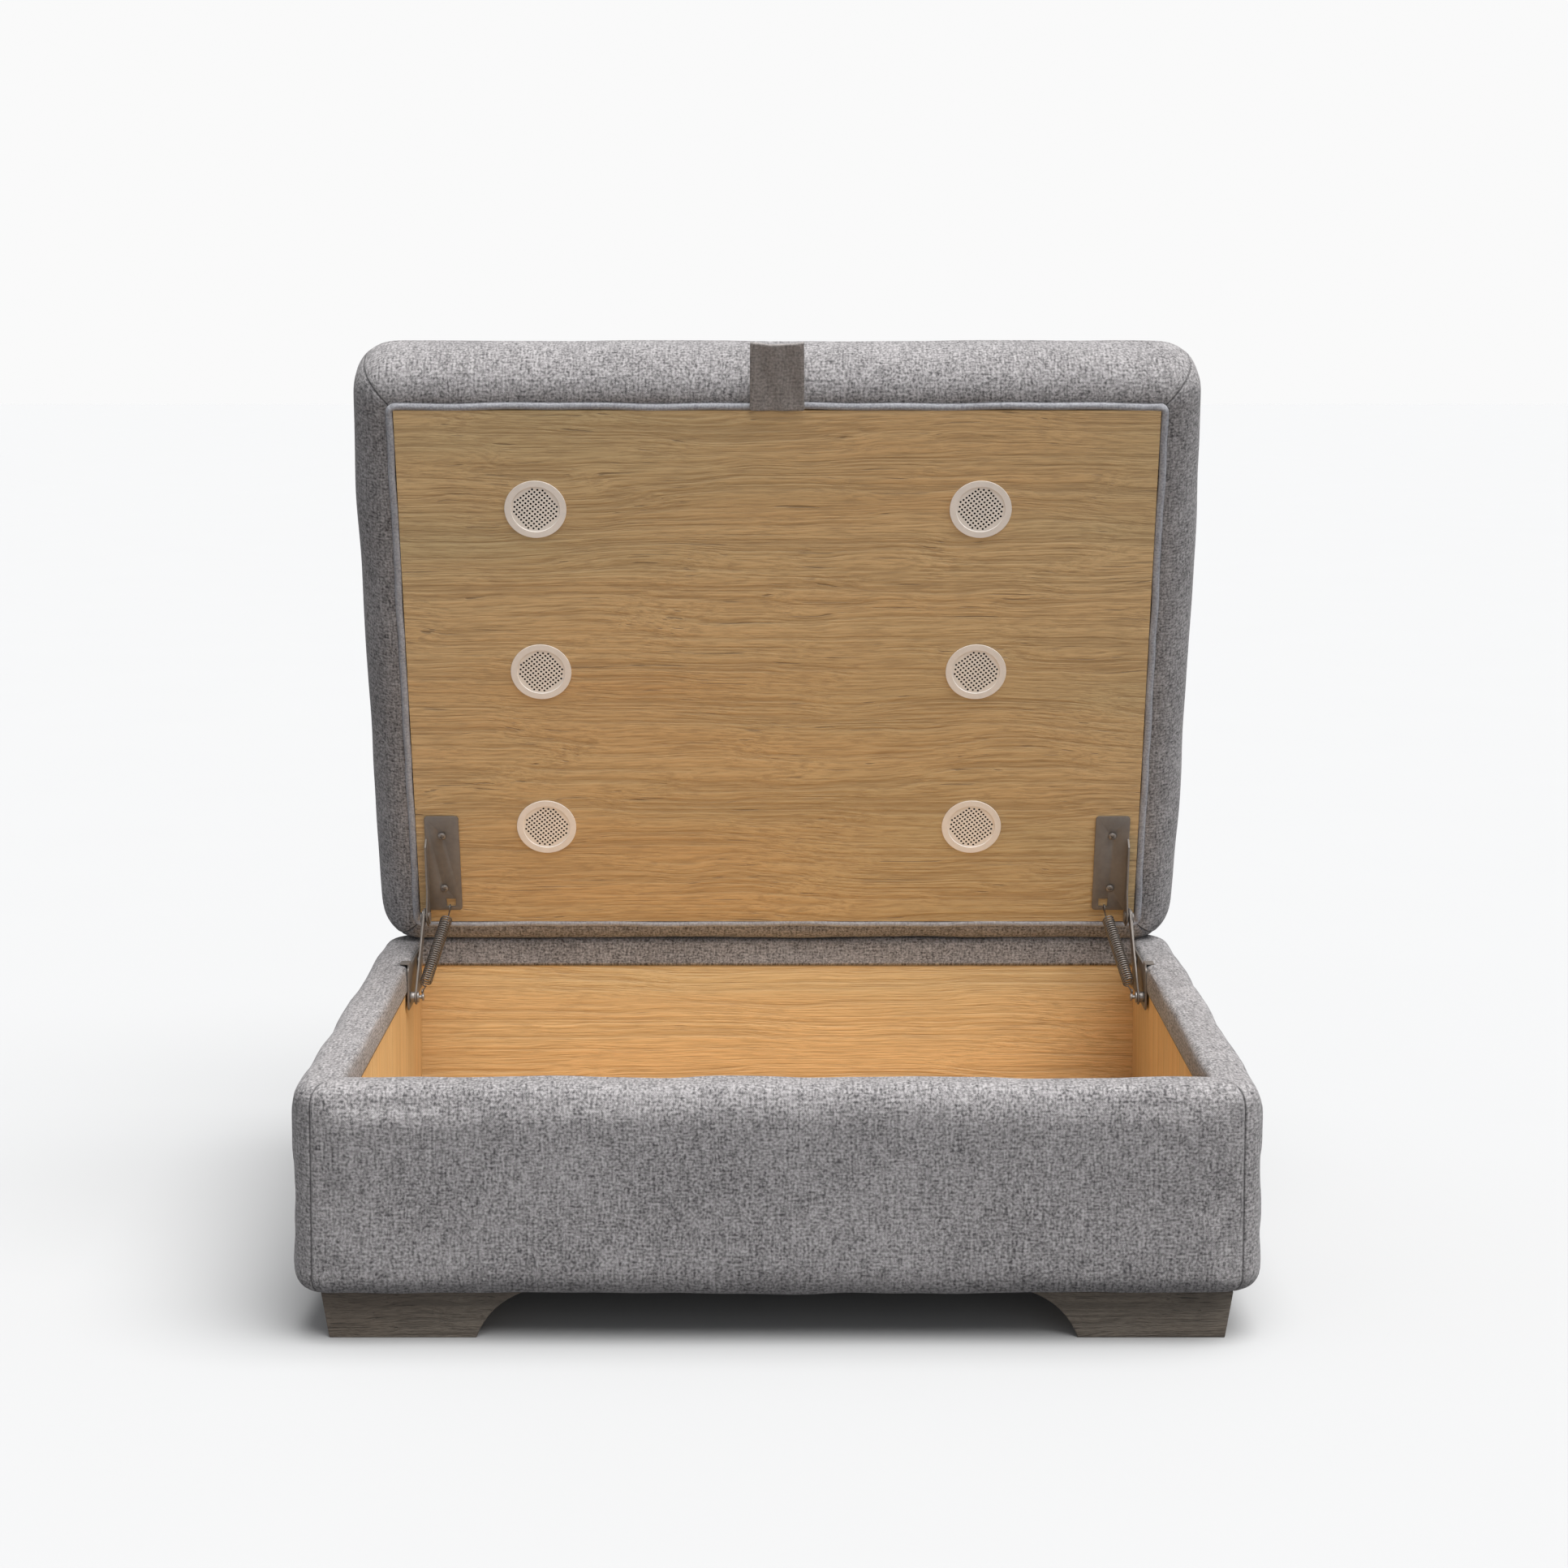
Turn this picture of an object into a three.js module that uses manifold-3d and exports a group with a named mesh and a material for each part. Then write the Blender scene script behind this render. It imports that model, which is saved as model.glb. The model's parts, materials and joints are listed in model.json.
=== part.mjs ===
// Storage ottoman: an upholstered box on four block feet, and a cushioned lid that two spring
// hinges lift open. Millimetres, +Z up, +Y to the back, feet on Z = 0. The lid stands open.
import * as THREE from "three";
import { mergeVertices } from "three/addons/utils/BufferGeometryUtils.js";
import Module from "manifold-3d";

const wasm = await Module();
wasm.setup();

// Clearance between touching pieces.
const GAP = 0.3;

// Box.
const BOX_WIDTH = 960;
const BOX_DEPTH = 763;
const RAIL_TOP = 259;
const BOX_BOTTOM = 48.5;
const WALL = 49.5;
const PANEL = 18;
const PAD_CAP = 12;
const FOLD_THICK = 2.2;
const FOLD_DROP = 34;
const PAD_ROUND = 17;
const FLOOR_THICK = 12;
const FLOOR_HEIGHT = 17;
const DUST_COVER = 1.2;

// Feet and their bolts.
const FOOT_TOP_WIDTH = 202;
const FOOT_BASE_WIDTH = 146;
const FOOT_DEPTH = 92;
const FOOT_INSET = 28;
const FOOT_TAPER = 8;
const FOOT_HEEL = 12;
const BLOCK_SIZE = 96;
const BOLT_RADIUS = 4;
const BOLT_LENGTH = 38;

// Lid.
const BOARD_CLEARANCE = 3.3;
const BOARD_THICK = 12;
const LID_THICK = 118;
const LID_REAR_BORDER = 46;
const LID_CORNER = 38;
const LID_LEAN = 19.56;
const LID_BACK_SETBACK = 22;
const LID_LIFT = 25.4;
const LOWER_ROUND = 56;
const REAR_LOWER_ROUND = 86;
const UPPER_ROUND = 42;
const COVER_THICK = 2;
const BINDING_WIDTH = 8;
const BINDING_PROUD = 2;
const TAB_WIDTH = 61;
const TAB_LENGTH = 83.5;
const TAB_THICK = 1.3;

// Air vents in the lid board.
const VENT_BORE = 29;
const VENT_FLANGE = 6;
const VENT_FROM_SIDE = 176.2;
const VENT_SHIFT = -21.5;
const VENT_FROM_REAR = 130;
const VENT_FROM_FRONT = 119;
const VENT_RIM = 1.6;
const VENT_WALL = 1.4;
const VENT_DEPTH = 9;

// Spring hinges. A and B are pivots on the box; C and D are pivots on the lid.
const STEEL = 2;
const PIVOT_A = { fromBack: 145.87, fromTop: 38.88 };
const PIVOT_B = { fromBack: 72.13, fromTop: 12.03 };
const PIVOT_C = { along: 23.58, out: 25.87 };
const PIVOT_D = { along: 14.02, out: 15.64 };
const RIVET_RADIUS = 3.2;
const RIVET_HEAD = 6.4;
const SMALL_HEAD = 4.9;
const HEAD_THICK = 1.2;
const OPEN_PIVOT_PLAY = 2.4;
const OPEN_HEAD = RIVET_RADIUS + OPEN_PIVOT_PLAY + 1.6;
const FRONT_ARM_WIDTH = 16;
const REAR_ARM_WIDTH = 11;
const EYE_MARGIN = 4.6;
const PLATE_LENGTH = 127;
const PLATE_WIDTH = 40.4;
const PLATE_START = 17;
const LATCH_HOLE = 11;
const LATCH_PLACE = 24;
const STUD_LENGTH = 14;
const BASE_PLATE_LENGTH = 130;
const BASE_PLATE_HEIGHT = 50;
const SCREW_RADIUS = 2;
const SCREW_HEAD = 4.6;
const SPRING_RADIUS = 5.2;
const SPRING_WIRE = 1.1;

// Places worked out from the sizes above.
const HALF_WIDTH = BOX_WIDTH / 2;
const HALF_DEPTH = BOX_DEPTH / 2;
const INNER_X = HALF_WIDTH - WALL;
const INNER_Y = HALF_DEPTH - WALL;
const BOARD_WIDTH = 2 * (INNER_X - BOARD_CLEARANCE);
const BOARD_LENGTH = 2 * (INNER_Y - BOARD_CLEARANCE);
const LID_BORDER = WALL + BOARD_CLEARANCE;
const VENT_RADIUS = VENT_BORE + VENT_FLANGE;
const VENT_SPREAD = BOARD_WIDTH / 2 - VENT_FROM_SIDE;
const VENT_LAST = BOARD_LENGTH - VENT_FROM_FRONT;
const VENT_PLACES = [VENT_FROM_REAR, (VENT_FROM_REAR + VENT_LAST) / 2, VENT_LAST];
const PANEL_TOP = RAIL_TOP - PAD_CAP - GAP;
const FLOOR_Z = BOX_BOTTOM + FLOOR_HEIGHT;
const FOOT_HEIGHT = BOX_BOTTOM - DUST_COVER - 2 * GAP;
const LEAN = THREE.MathUtils.degToRad(LID_LEAN);
const LID_ORIGIN = new THREE.Vector3(0, INNER_Y - LID_BACK_SETBACK, RAIL_TOP + LID_LIFT);
const FACE_X = INNER_X - FOLD_THICK - GAP;
const REAR_ARM_X = FACE_X - STEEL - HEAD_THICK - 3 * GAP;
const FRONT_ARM_X = REAR_ARM_X - STEEL - HEAD_THICK - 2 * GAP;
const FLANGE_X = FRONT_ARM_X - STEEL - 4 * GAP;
const SPRING_X = FLANGE_X - PLATE_WIDTH + 13;

const FINISHES = {
  fabric: new THREE.MeshStandardMaterial({ color: 0xb9b2a8, roughness: 0.95, metalness: 0 }),
  foam: new THREE.MeshStandardMaterial({ color: 0xe6dfc4, roughness: 0.9, metalness: 0 }),
  binding: new THREE.MeshStandardMaterial({ color: 0xa3a7ab, roughness: 0.85, metalness: 0 }),
  oak: new THREE.MeshStandardMaterial({ color: 0xb98b5c, roughness: 0.6, metalness: 0 }),
  batten: new THREE.MeshStandardMaterial({ color: 0xc9a878, roughness: 0.75, metalness: 0 }),
  foot: new THREE.MeshStandardMaterial({ color: 0x8d7f70, roughness: 0.7, metalness: 0 }),
  steel: new THREE.MeshStandardMaterial({ color: 0x8d8880, roughness: 0.4, metalness: 0.9 }),
  lining: new THREE.MeshStandardMaterial({ color: 0x2b2b2b, roughness: 0.95, metalness: 0 }),
  vent: new THREE.MeshStandardMaterial({ color: 0xcdb796, roughness: 0.5, metalness: 0 }),
};

// ---- solids -------------------------------------------------------------------------------

function cleaned(geometry) {
  const bare = geometry.clone();
  bare.deleteAttribute("normal");
  bare.deleteAttribute("uv");
  return mergeVertices(bare, 1e-4);
}

function toSolid(geometry) {
  const merged = cleaned(geometry);
  return new wasm.Manifold(
    new wasm.Mesh({
      numProp: 3,
      vertProperties: new Float32Array(merged.attributes.position.array),
      triVerts: new Uint32Array(merged.index.array),
    }),
  );
}

function fromSolid(solid) {
  const mesh = solid.getMesh();
  const geometry = new THREE.BufferGeometry();
  geometry.setAttribute("position", new THREE.BufferAttribute(mesh.vertProperties, 3));
  geometry.setIndex(new THREE.BufferAttribute(mesh.triVerts, 1));
  geometry.computeVertexNormals();
  return geometry;
}

function cut(geometry, ...tools) {
  return fromSolid(tools.reduce((solid, tool) => solid.subtract(toSolid(tool)), toSolid(geometry)));
}

function join(geometry, ...others) {
  return fromSolid(others.reduce((solid, other) => solid.add(toSolid(other)), toSolid(geometry)));
}

function boxBetween(x0, x1, y0, y1, z0, z1) {
  const geometry = new THREE.BoxGeometry(x1 - x0, y1 - y0, z1 - z0);
  return geometry.translate((x0 + x1) / 2, (y0 + y1) / 2, (z0 + z1) / 2);
}

// A flat outline drawn in Y and Z, thickened from X = x0 to x1.
function plateInX(shape, x0, x1, segments = 6) {
  const geometry = new THREE.ExtrudeGeometry(shape, {
    depth: x1 - x0,
    bevelEnabled: false,
    curveSegments: segments,
  });
  const turn = new THREE.Matrix4().set(0, 0, 1, x0, 1, 0, 0, 0, 0, 1, 0, 0, 0, 0, 0, 1);
  return geometry.applyMatrix4(turn);
}

// A turned piece along X: a list of [radius, x] from one end on the axis to the other.
function turnedInX(profile, y, z, segments = 12) {
  const points = profile.map(([radius, x]) => new THREE.Vector2(radius, x));
  const geometry = new THREE.LatheGeometry(points, segments);
  return geometry.rotateZ(-Math.PI / 2).translate(0, y, z);
}

function turnedInZ(profile, x, y, segments = 24) {
  const points = profile.map(([radius, z]) => new THREE.Vector2(radius, z));
  return new THREE.LatheGeometry(points, segments).rotateX(Math.PI / 2).translate(x, y, 0);
}

function mirrored(geometry) {
  const flipped = cleaned(geometry).scale(-1, 1, 1);
  const index = flipped.index.array;
  for (let i = 0; i < index.length; i += 3) {
    const first = index[i];
    index[i] = index[i + 1];
    index[i + 1] = first;
  }
  flipped.computeVertexNormals();
  return flipped;
}

function roundedOutline(x0, x1, y0, y1, radius) {
  const shape = new THREE.Shape();
  shape.absarc(x1 - radius, y1 - radius, radius, 0, Math.PI / 2);
  shape.absarc(x0 + radius, y1 - radius, radius, Math.PI / 2, Math.PI);
  shape.absarc(x0 + radius, y0 + radius, radius, Math.PI, 1.5 * Math.PI);
  shape.absarc(x1 - radius, y0 + radius, radius, 1.5 * Math.PI, 2 * Math.PI);
  return shape;
}

function roundHole(x, y, radius) {
  const hole = new THREE.Path();
  hole.absarc(x, y, radius, 0, 2 * Math.PI, true);
  return hole;
}

// A closed loft through rings of equal point counts, from the first ring to the last.
function loft(rings) {
  const count = rings[0].length;
  const places = rings.flat().flatMap((p) => [p.x, p.y, p.z]);
  const faces = [];
  for (let r = 0; r + 1 < rings.length; r += 1) {
    for (let i = 0; i < count; i += 1) {
      const a = r * count + i;
      const b = r * count + ((i + 1) % count);
      faces.push(a, b, b + count, a, b + count, a + count);
    }
  }
  const last = (rings.length - 1) * count;
  for (let i = 1; i + 1 < count; i += 1) {
    faces.push(0, i + 1, i);
    faces.push(last, last + i, last + i + 1);
  }
  const geometry = new THREE.BufferGeometry();
  geometry.setAttribute("position", new THREE.Float32BufferAttribute(places, 3));
  geometry.setIndex(faces);
  return geometry;
}

function named(name, geometry, finish) {
  const mesh = new THREE.Mesh(geometry, FINISHES[finish]);
  mesh.name = name;
  return mesh;
}

// ---- box ----------------------------------------------------------------------------------

// Pivot places on the box, as points in Y and Z.
function basePivot(pivot) {
  return new THREE.Vector2(INNER_Y - pivot.fromBack, RAIL_TOP - pivot.fromTop);
}

const A = basePivot(PIVOT_A);
const B = basePivot(PIVOT_B);

const BASE_PLATE_FRONT = A.x - RIVET_RADIUS - 2 * EYE_MARGIN;
const BASE_PLATE_TOP = RAIL_TOP - 2.5;
const BASE_SCREWS = [
  new THREE.Vector2(BASE_PLATE_FRONT + 0.36 * BASE_PLATE_LENGTH, BASE_PLATE_TOP - BASE_PLATE_HEIGHT + 7.5),
  new THREE.Vector2(BASE_PLATE_FRONT + BASE_PLATE_LENGTH - 9, BASE_PLATE_TOP - BASE_PLATE_HEIGHT + 7.5),
];

function sidePanel() {
  const y = INNER_Y - GAP;
  const shape = new THREE.Shape([
    new THREE.Vector2(-y, BOX_BOTTOM + GAP),
    new THREE.Vector2(y, BOX_BOTTOM + GAP),
    new THREE.Vector2(y, PANEL_TOP),
    new THREE.Vector2(-y, PANEL_TOP),
  ]);
  BASE_SCREWS.forEach((p) => shape.holes.push(roundHole(p.x, p.y, SCREW_RADIUS + GAP)));
  return plateInX(shape, INNER_X, INNER_X + PANEL, 4);
}

function crossPanel(sign) {
  const x = INNER_X + PANEL;
  const near = Math.min(sign * INNER_Y, sign * (INNER_Y + PANEL));
  return boxBetween(-x, x, near, near + PANEL, BOX_BOTTOM + GAP, PANEL_TOP);
}

// The pad's section: a face outside the panel, a cap over its top and a fold down its inside.
// The first number runs outwards from the panel's inner face, the second is the height.
function padSection() {
  const outer = WALL;
  const inner = -FOLD_THICK - GAP;
  const panelOut = PANEL + GAP;
  const points = [
    [panelOut, BOX_BOTTOM + GAP],
    [outer - 4, BOX_BOTTOM + GAP],
    [outer, BOX_BOTTOM + GAP + 6],
  ];
  for (let k = 0; k <= 4; k += 1) {
    const a = (Math.PI / 2) * (k / 4);
    points.push([
      outer - PAD_ROUND * (1 - Math.cos(a)),
      RAIL_TOP - PAD_ROUND * (1 - Math.sin(a)),
    ]);
  }
  points.push([inner + 6, RAIL_TOP]);
  points.push([inner + 1.5, RAIL_TOP - 1.8]);
  points.push([inner, RAIL_TOP - 6]);
  points.push([inner, RAIL_TOP - FOLD_DROP]);
  points.push([-GAP, RAIL_TOP - FOLD_DROP]);
  points.push([-GAP, PANEL_TOP + GAP]);
  points.push([panelOut, PANEL_TOP + GAP]);
  return points;
}

// One pad, mitred at both ends. half is the half length at the panel's inner face.
function pad(half) {
  const shorten = GAP / 2;
  const ring = (side) =>
    padSection().map(
      ([out, height]) => new THREE.Vector3(out, side * (half + out - shorten), height),
    );
  const shape = padSection().map(([out, height]) => new THREE.Vector2(out, height));
  const triangles = THREE.ShapeUtils.triangulateShape(shape, []);
  const low = ring(-1);
  const high = ring(1);
  const count = low.length;
  const places = [...low, ...high].flatMap((p) => [p.x, p.y, p.z]);
  const faces = [];
  triangles.forEach(([a, b, c]) => {
    faces.push(a, b, c);
    faces.push(count + a, count + c, count + b);
  });
  for (let i = 0; i < count; i += 1) {
    const next = (i + 1) % count;
    faces.push(i, count + i, count + next, i, count + next, next);
  }
  const geometry = new THREE.BufferGeometry();
  geometry.setAttribute("position", new THREE.Float32BufferAttribute(places, 3));
  geometry.setIndex(faces);
  return geometry;
}

function sidePad() {
  return pad(INNER_Y).translate(INNER_X, 0, 0);
}

function crossPad(sign) {
  return pad(INNER_X)
    .translate(INNER_Y, 0, 0)
    .rotateZ((sign * Math.PI) / 2);
}

function floorPanel() {
  const x = INNER_X - GAP;
  const y = INNER_Y - GAP;
  return boxBetween(-x, x, -y, y, FLOOR_Z, FLOOR_Z + FLOOR_THICK);
}

// Centre of the foot bolt at the +X corner on the given side in Y.
function boltPlace(sideY) {
  return new THREE.Vector2(INNER_X - BLOCK_SIZE / 2, sideY * (INNER_Y - BLOCK_SIZE / 2));
}

function boltHole(sideY) {
  const p = boltPlace(sideY);
  const radius = BOLT_RADIUS + GAP;
  const profile = [[0, FOOT_HEIGHT - BOLT_LENGTH / 2 - GAP], [radius, FOOT_HEIGHT - BOLT_LENGTH / 2 - GAP],
    [radius, FLOOR_Z - GAP / 2], [0, FLOOR_Z - GAP / 2]];
  return turnedInZ(profile, p.x, p.y, 12);
}

function cornerBlock(sideY) {
  const y0 = sideY * (INNER_Y - GAP);
  const y1 = sideY * (INNER_Y - BLOCK_SIZE);
  const block = boxBetween(INNER_X - BLOCK_SIZE, INNER_X - GAP, Math.min(y0, y1), Math.max(y0, y1),
    BOX_BOTTOM + GAP, FLOOR_Z - GAP);
  return cut(block, boltHole(sideY));
}

function dustCover() {
  const x = INNER_X + PANEL;
  const y = INNER_Y + PANEL;
  const sheet = boxBetween(-x, x, -y, y, BOX_BOTTOM - DUST_COVER, BOX_BOTTOM);
  const holes = [-1, 1].flatMap((sideY) => [boltHole(sideY), mirrored(boltHole(sideY))]);
  return cut(sheet, ...holes);
}

// A block foot: slightly tapered outside, with a concave curve on its inner side.
function foot(sideY) {
  const outside = HALF_WIDTH - FOOT_INSET;
  const inside = outside - FOOT_TOP_WIDTH;
  const toe = outside - FOOT_TAPER;
  const heel = toe - FOOT_BASE_WIDTH;
  const shape = new THREE.Shape();
  shape.moveTo(toe, 0);
  shape.lineTo(outside, FOOT_HEIGHT);
  shape.lineTo(inside, FOOT_HEIGHT);
  shape.quadraticCurveTo(heel - FOOT_HEEL, FOOT_HEIGHT * 0.72, heel, 0);
  const geometry = new THREE.ExtrudeGeometry(shape, {
    depth: FOOT_DEPTH,
    bevelEnabled: false,
    curveSegments: 8,
  });
  const turn = new THREE.Matrix4().set(1, 0, 0, 0, 0, 0, -1, 0, 0, 1, 0, 0, 0, 0, 0, 1);
  geometry.applyMatrix4(turn);
  const front = -(HALF_DEPTH - FOOT_INSET);
  geometry.translate(0, sideY < 0 ? front + FOOT_DEPTH : -front, 0);
  return cut(geometry, boltHole(sideY));
}

function footBolt(sideY) {
  const p = boltPlace(sideY);
  const low = FOOT_HEIGHT - BOLT_LENGTH / 2;
  const high = FLOOR_Z - 2 * GAP;
  const profile = [[0, low], [BOLT_RADIUS - 1, low], [BOLT_RADIUS, low + 2], [BOLT_RADIUS, high], [0, high]];
  return turnedInZ(profile, p.x, p.y, 12);
}

function addBox(root) {
  root.add(named("front_panel", crossPanel(-1), "oak"));
  root.add(named("back_panel", crossPanel(1), "oak"));
  root.add(named("right_panel", sidePanel(), "oak"));
  root.add(named("left_panel", mirrored(sidePanel()), "oak"));
  root.add(named("front_pad", crossPad(-1), "fabric"));
  root.add(named("back_pad", crossPad(1), "fabric"));
  root.add(named("right_pad", sidePad(), "fabric"));
  root.add(named("left_pad", mirrored(sidePad()), "fabric"));
  root.add(named("floor_panel", floorPanel(), "oak"));
  root.add(named("dust_cover", dustCover(), "lining"));
  [["front", -1], ["back", 1]].forEach(([place, sideY]) => {
    root.add(named(`${place}_right_foot`, foot(sideY), "foot"));
    root.add(named(`${place}_left_foot`, mirrored(foot(sideY)), "foot"));
    root.add(named(`${place}_right_block`, cornerBlock(sideY), "batten"));
    root.add(named(`${place}_left_block`, mirrored(cornerBlock(sideY)), "batten"));
    root.add(named(`${place}_right_foot_bolt`, footBolt(sideY), "steel"));
    root.add(named(`${place}_left_foot_bolt`, mirrored(footBolt(sideY)), "steel"));
  });
}

// ---- lid: X as the box, Y along the board from its rear edge, Z out of its bare face --------

// How far the upholstery stands beyond the board at a depth below the bare face.
function borderAt(depth, border, lower) {
  const upperStart = LID_THICK - UPPER_ROUND;
  const reach = border - 2;
  if (depth < lower) {
    return border - reach + reach * Math.sqrt(Math.max(0, 1 - (1 - depth / lower) ** 2));
  }
  if (depth > upperStart) {
    const share = (depth - upperStart) / UPPER_ROUND;
    return border - UPPER_ROUND + UPPER_ROUND * Math.sqrt(Math.max(0, 1 - share ** 2));
  }
  return border;
}

function lidDepths() {
  const shares = [0, 0.012, 0.05, 0.12, 0.22, 0.36, 0.5, 0.64, 0.73, 0.82, 0.89, 0.95, 0.985, 1];
  return shares.map((share) => share * LID_THICK);
}

// The cushion's outer form, taken in by inset on every side.
function cushionForm(inset) {
  const rings = lidDepths().map((depth) => {
    const side = borderAt(depth, LID_BORDER, LOWER_ROUND) - inset;
    const rear = Math.min(
      borderAt(depth, LID_REAR_BORDER, REAR_LOWER_ROUND),
      borderAt(depth, LID_BORDER, LOWER_ROUND),
    ) - inset;
    const radius = Math.max(6, LID_CORNER - inset + Math.min(0, side));
    const outline = roundedOutline(
      -BOARD_WIDTH / 2 - side,
      BOARD_WIDTH / 2 + side,
      -rear,
      BOARD_LENGTH + side,
      radius,
    );
    const level = -THREE.MathUtils.clamp(depth, inset, LID_THICK - inset);
    return outline.getPoints(5).slice(0, -1).map((p) => new THREE.Vector3(p.x, p.y, level));
  });
  const unique = rings.filter((ring, i) => i === 0 || ring[0].z < rings[i - 1][0].z);
  return loft(unique.reverse());
}

function boardRecess(extra, depth) {
  const x = BOARD_WIDTH / 2 + BINDING_WIDTH + extra;
  return boxBetween(-x, x, -BINDING_WIDTH - extra, BOARD_LENGTH + BINDING_WIDTH + extra, -depth, 20);
}

function foam() {
  return cut(cushionForm(COVER_THICK + GAP), boardRecess(GAP, BOARD_THICK + GAP));
}

function cover() {
  return cut(cushionForm(0), cushionForm(COVER_THICK), boardRecess(GAP, BOARD_THICK + GAP));
}

const PLATE_X = FLANGE_X - PLATE_WIDTH / 2;
const LID_SCREWS = [PLATE_START + 30.5, PLATE_START + 101.5];

function board() {
  const shape = new THREE.Shape();
  const x = BOARD_WIDTH / 2;
  shape.moveTo(-x, 0);
  shape.lineTo(x, 0);
  shape.lineTo(x, BOARD_LENGTH);
  shape.lineTo(-x, BOARD_LENGTH);
  [-1, 1].forEach((side) => {
    VENT_PLACES.forEach((place) => {
      shape.holes.push(roundHole(VENT_SHIFT + side * VENT_SPREAD, place, VENT_BORE + GAP));
    });
    LID_SCREWS.forEach((place) => shape.holes.push(roundHole(side * PLATE_X, place, SCREW_RADIUS + GAP)));
  });
  const geometry = new THREE.ExtrudeGeometry(shape, {
    depth: BOARD_THICK,
    bevelEnabled: false,
    curveSegments: 12,
  });
  return geometry.translate(0, 0, -BOARD_THICK);
}

function binding() {
  const x = BOARD_WIDTH / 2;
  const shape = roundedOutline(-x - BINDING_WIDTH, x + BINDING_WIDTH, -BINDING_WIDTH,
    BOARD_LENGTH + BINDING_WIDTH, BINDING_WIDTH / 2);
  const hole = new THREE.Path();
  hole.moveTo(-x - GAP, -GAP);
  hole.lineTo(-x - GAP, BOARD_LENGTH + GAP);
  hole.lineTo(x + GAP, BOARD_LENGTH + GAP);
  hole.lineTo(x + GAP, -GAP);
  shape.holes.push(hole);
  const geometry = new THREE.ExtrudeGeometry(shape, {
    depth: BOARD_THICK + BINDING_PROUD,
    bevelEnabled: false,
    curveSegments: 3,
  });
  return geometry.translate(0, 0, -BOARD_THICK);
}

// A flat loop of cloth sewn in at the front of the binding, standing out past the border.
function pullTab() {
  const x = TAB_WIDTH / 2;
  const near = BINDING_PROUD + GAP;
  return boxBetween(-x, x, BOARD_LENGTH + 1, BOARD_LENGTH + TAB_LENGTH, near, near + TAB_THICK);
}

// A pressed vent: a flat rim on the board and a shallow cup with a pierced floor.
function vent(x, place) {
  const profile = [
    [0, -VENT_DEPTH + VENT_WALL],
    [VENT_BORE - VENT_WALL, -VENT_DEPTH + VENT_WALL],
    [VENT_BORE - VENT_WALL, GAP + VENT_RIM],
    [VENT_RADIUS - 1, GAP + VENT_RIM],
    [VENT_RADIUS, GAP + VENT_RIM / 2],
    [VENT_RADIUS, GAP],
    [VENT_BORE, GAP],
    [VENT_BORE, -VENT_DEPTH],
    [0, -VENT_DEPTH],
  ].reverse();
  return turnedInZ(profile, x, place, 28);
}

function addLid(lid) {
  lid.add(named("lid_board", board(), "oak"));
  lid.add(named("lid_foam", foam(), "foam"));
  lid.add(named("lid_cover", cover(), "fabric"));
  lid.add(named("lid_binding", binding(), "binding"));
  lid.add(named("pull_tab", pullTab(), "fabric"));
  VENT_PLACES.forEach((place, row) => {
    lid.add(named(`vent_left_${row + 1}`, vent(VENT_SHIFT - VENT_SPREAD, place), "vent"));
    lid.add(named(`vent_right_${row + 1}`, vent(VENT_SHIFT + VENT_SPREAD, place), "vent"));
  });
}

// ---- hinges, modelled on the right and mirrored to the left ---------------------------------

// A lid pivot as a point in Y and Z of the open ottoman.
function lidPoint(along, out) {
  const y = LID_ORIGIN.y - along * Math.sin(LEAN) - out * Math.cos(LEAN);
  const z = LID_ORIGIN.z + along * Math.cos(LEAN) - out * Math.sin(LEAN);
  return new THREE.Vector2(y, z);
}

const C = lidPoint(PIVOT_C.along, PIVOT_C.out);
const D = lidPoint(PIVOT_D.along, PIVOT_D.out);

function basePlate() {
  const back = BASE_PLATE_FRONT + BASE_PLATE_LENGTH;
  const shape = roundedOutline(BASE_PLATE_FRONT, back, BASE_PLATE_TOP - BASE_PLATE_HEIGHT, BASE_PLATE_TOP, 5);
  [A, B].forEach((p) => shape.holes.push(roundHole(p.x, p.y, RIVET_RADIUS + GAP)));
  BASE_SCREWS.forEach((p) => shape.holes.push(roundHole(p.x, p.y, SCREW_RADIUS + GAP)));
  const plate = plateInX(shape, FACE_X - STEEL, FACE_X);
  const neck = boxBetween(FACE_X - STEEL, FACE_X, BASE_PLATE_FRONT + 6, BASE_PLATE_FRONT + 22,
    BASE_PLATE_TOP - 4, RAIL_TOP + GAP + STEEL * 0.75);
  const lip = boxBetween(FACE_X - STEEL, FACE_X + 9, BASE_PLATE_FRONT + 6, BASE_PLATE_FRONT + 22,
    RAIL_TOP + GAP, RAIL_TOP + GAP + STEEL * 0.75);
  return join(plate, neck, lip);
}

// A flat bar with round eyes at two pivots.
function bar(from, to, width, x) {
  const eye = Math.max(RIVET_RADIUS + EYE_MARGIN, width / 2 + 0.5);
  const along = to.clone().sub(from);
  const angle = Math.atan2(along.y, along.x);
  const length = along.length();
  const turn = Math.asin(width / 2 / eye);
  const shape = new THREE.Shape();
  shape.absarc(0, 0, eye, turn, 2 * Math.PI - turn);
  shape.absarc(length, 0, eye, Math.PI + turn, 3 * Math.PI - turn);
  shape.holes.push(roundHole(0, 0, RIVET_RADIUS + GAP));
  shape.holes.push(roundHole(length, 0, RIVET_RADIUS + GAP));
  const blank = plateInX(shape, x - STEEL, x, 8);
  return blank.rotateX(angle).translate(0, from.x, from.y);
}

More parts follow.
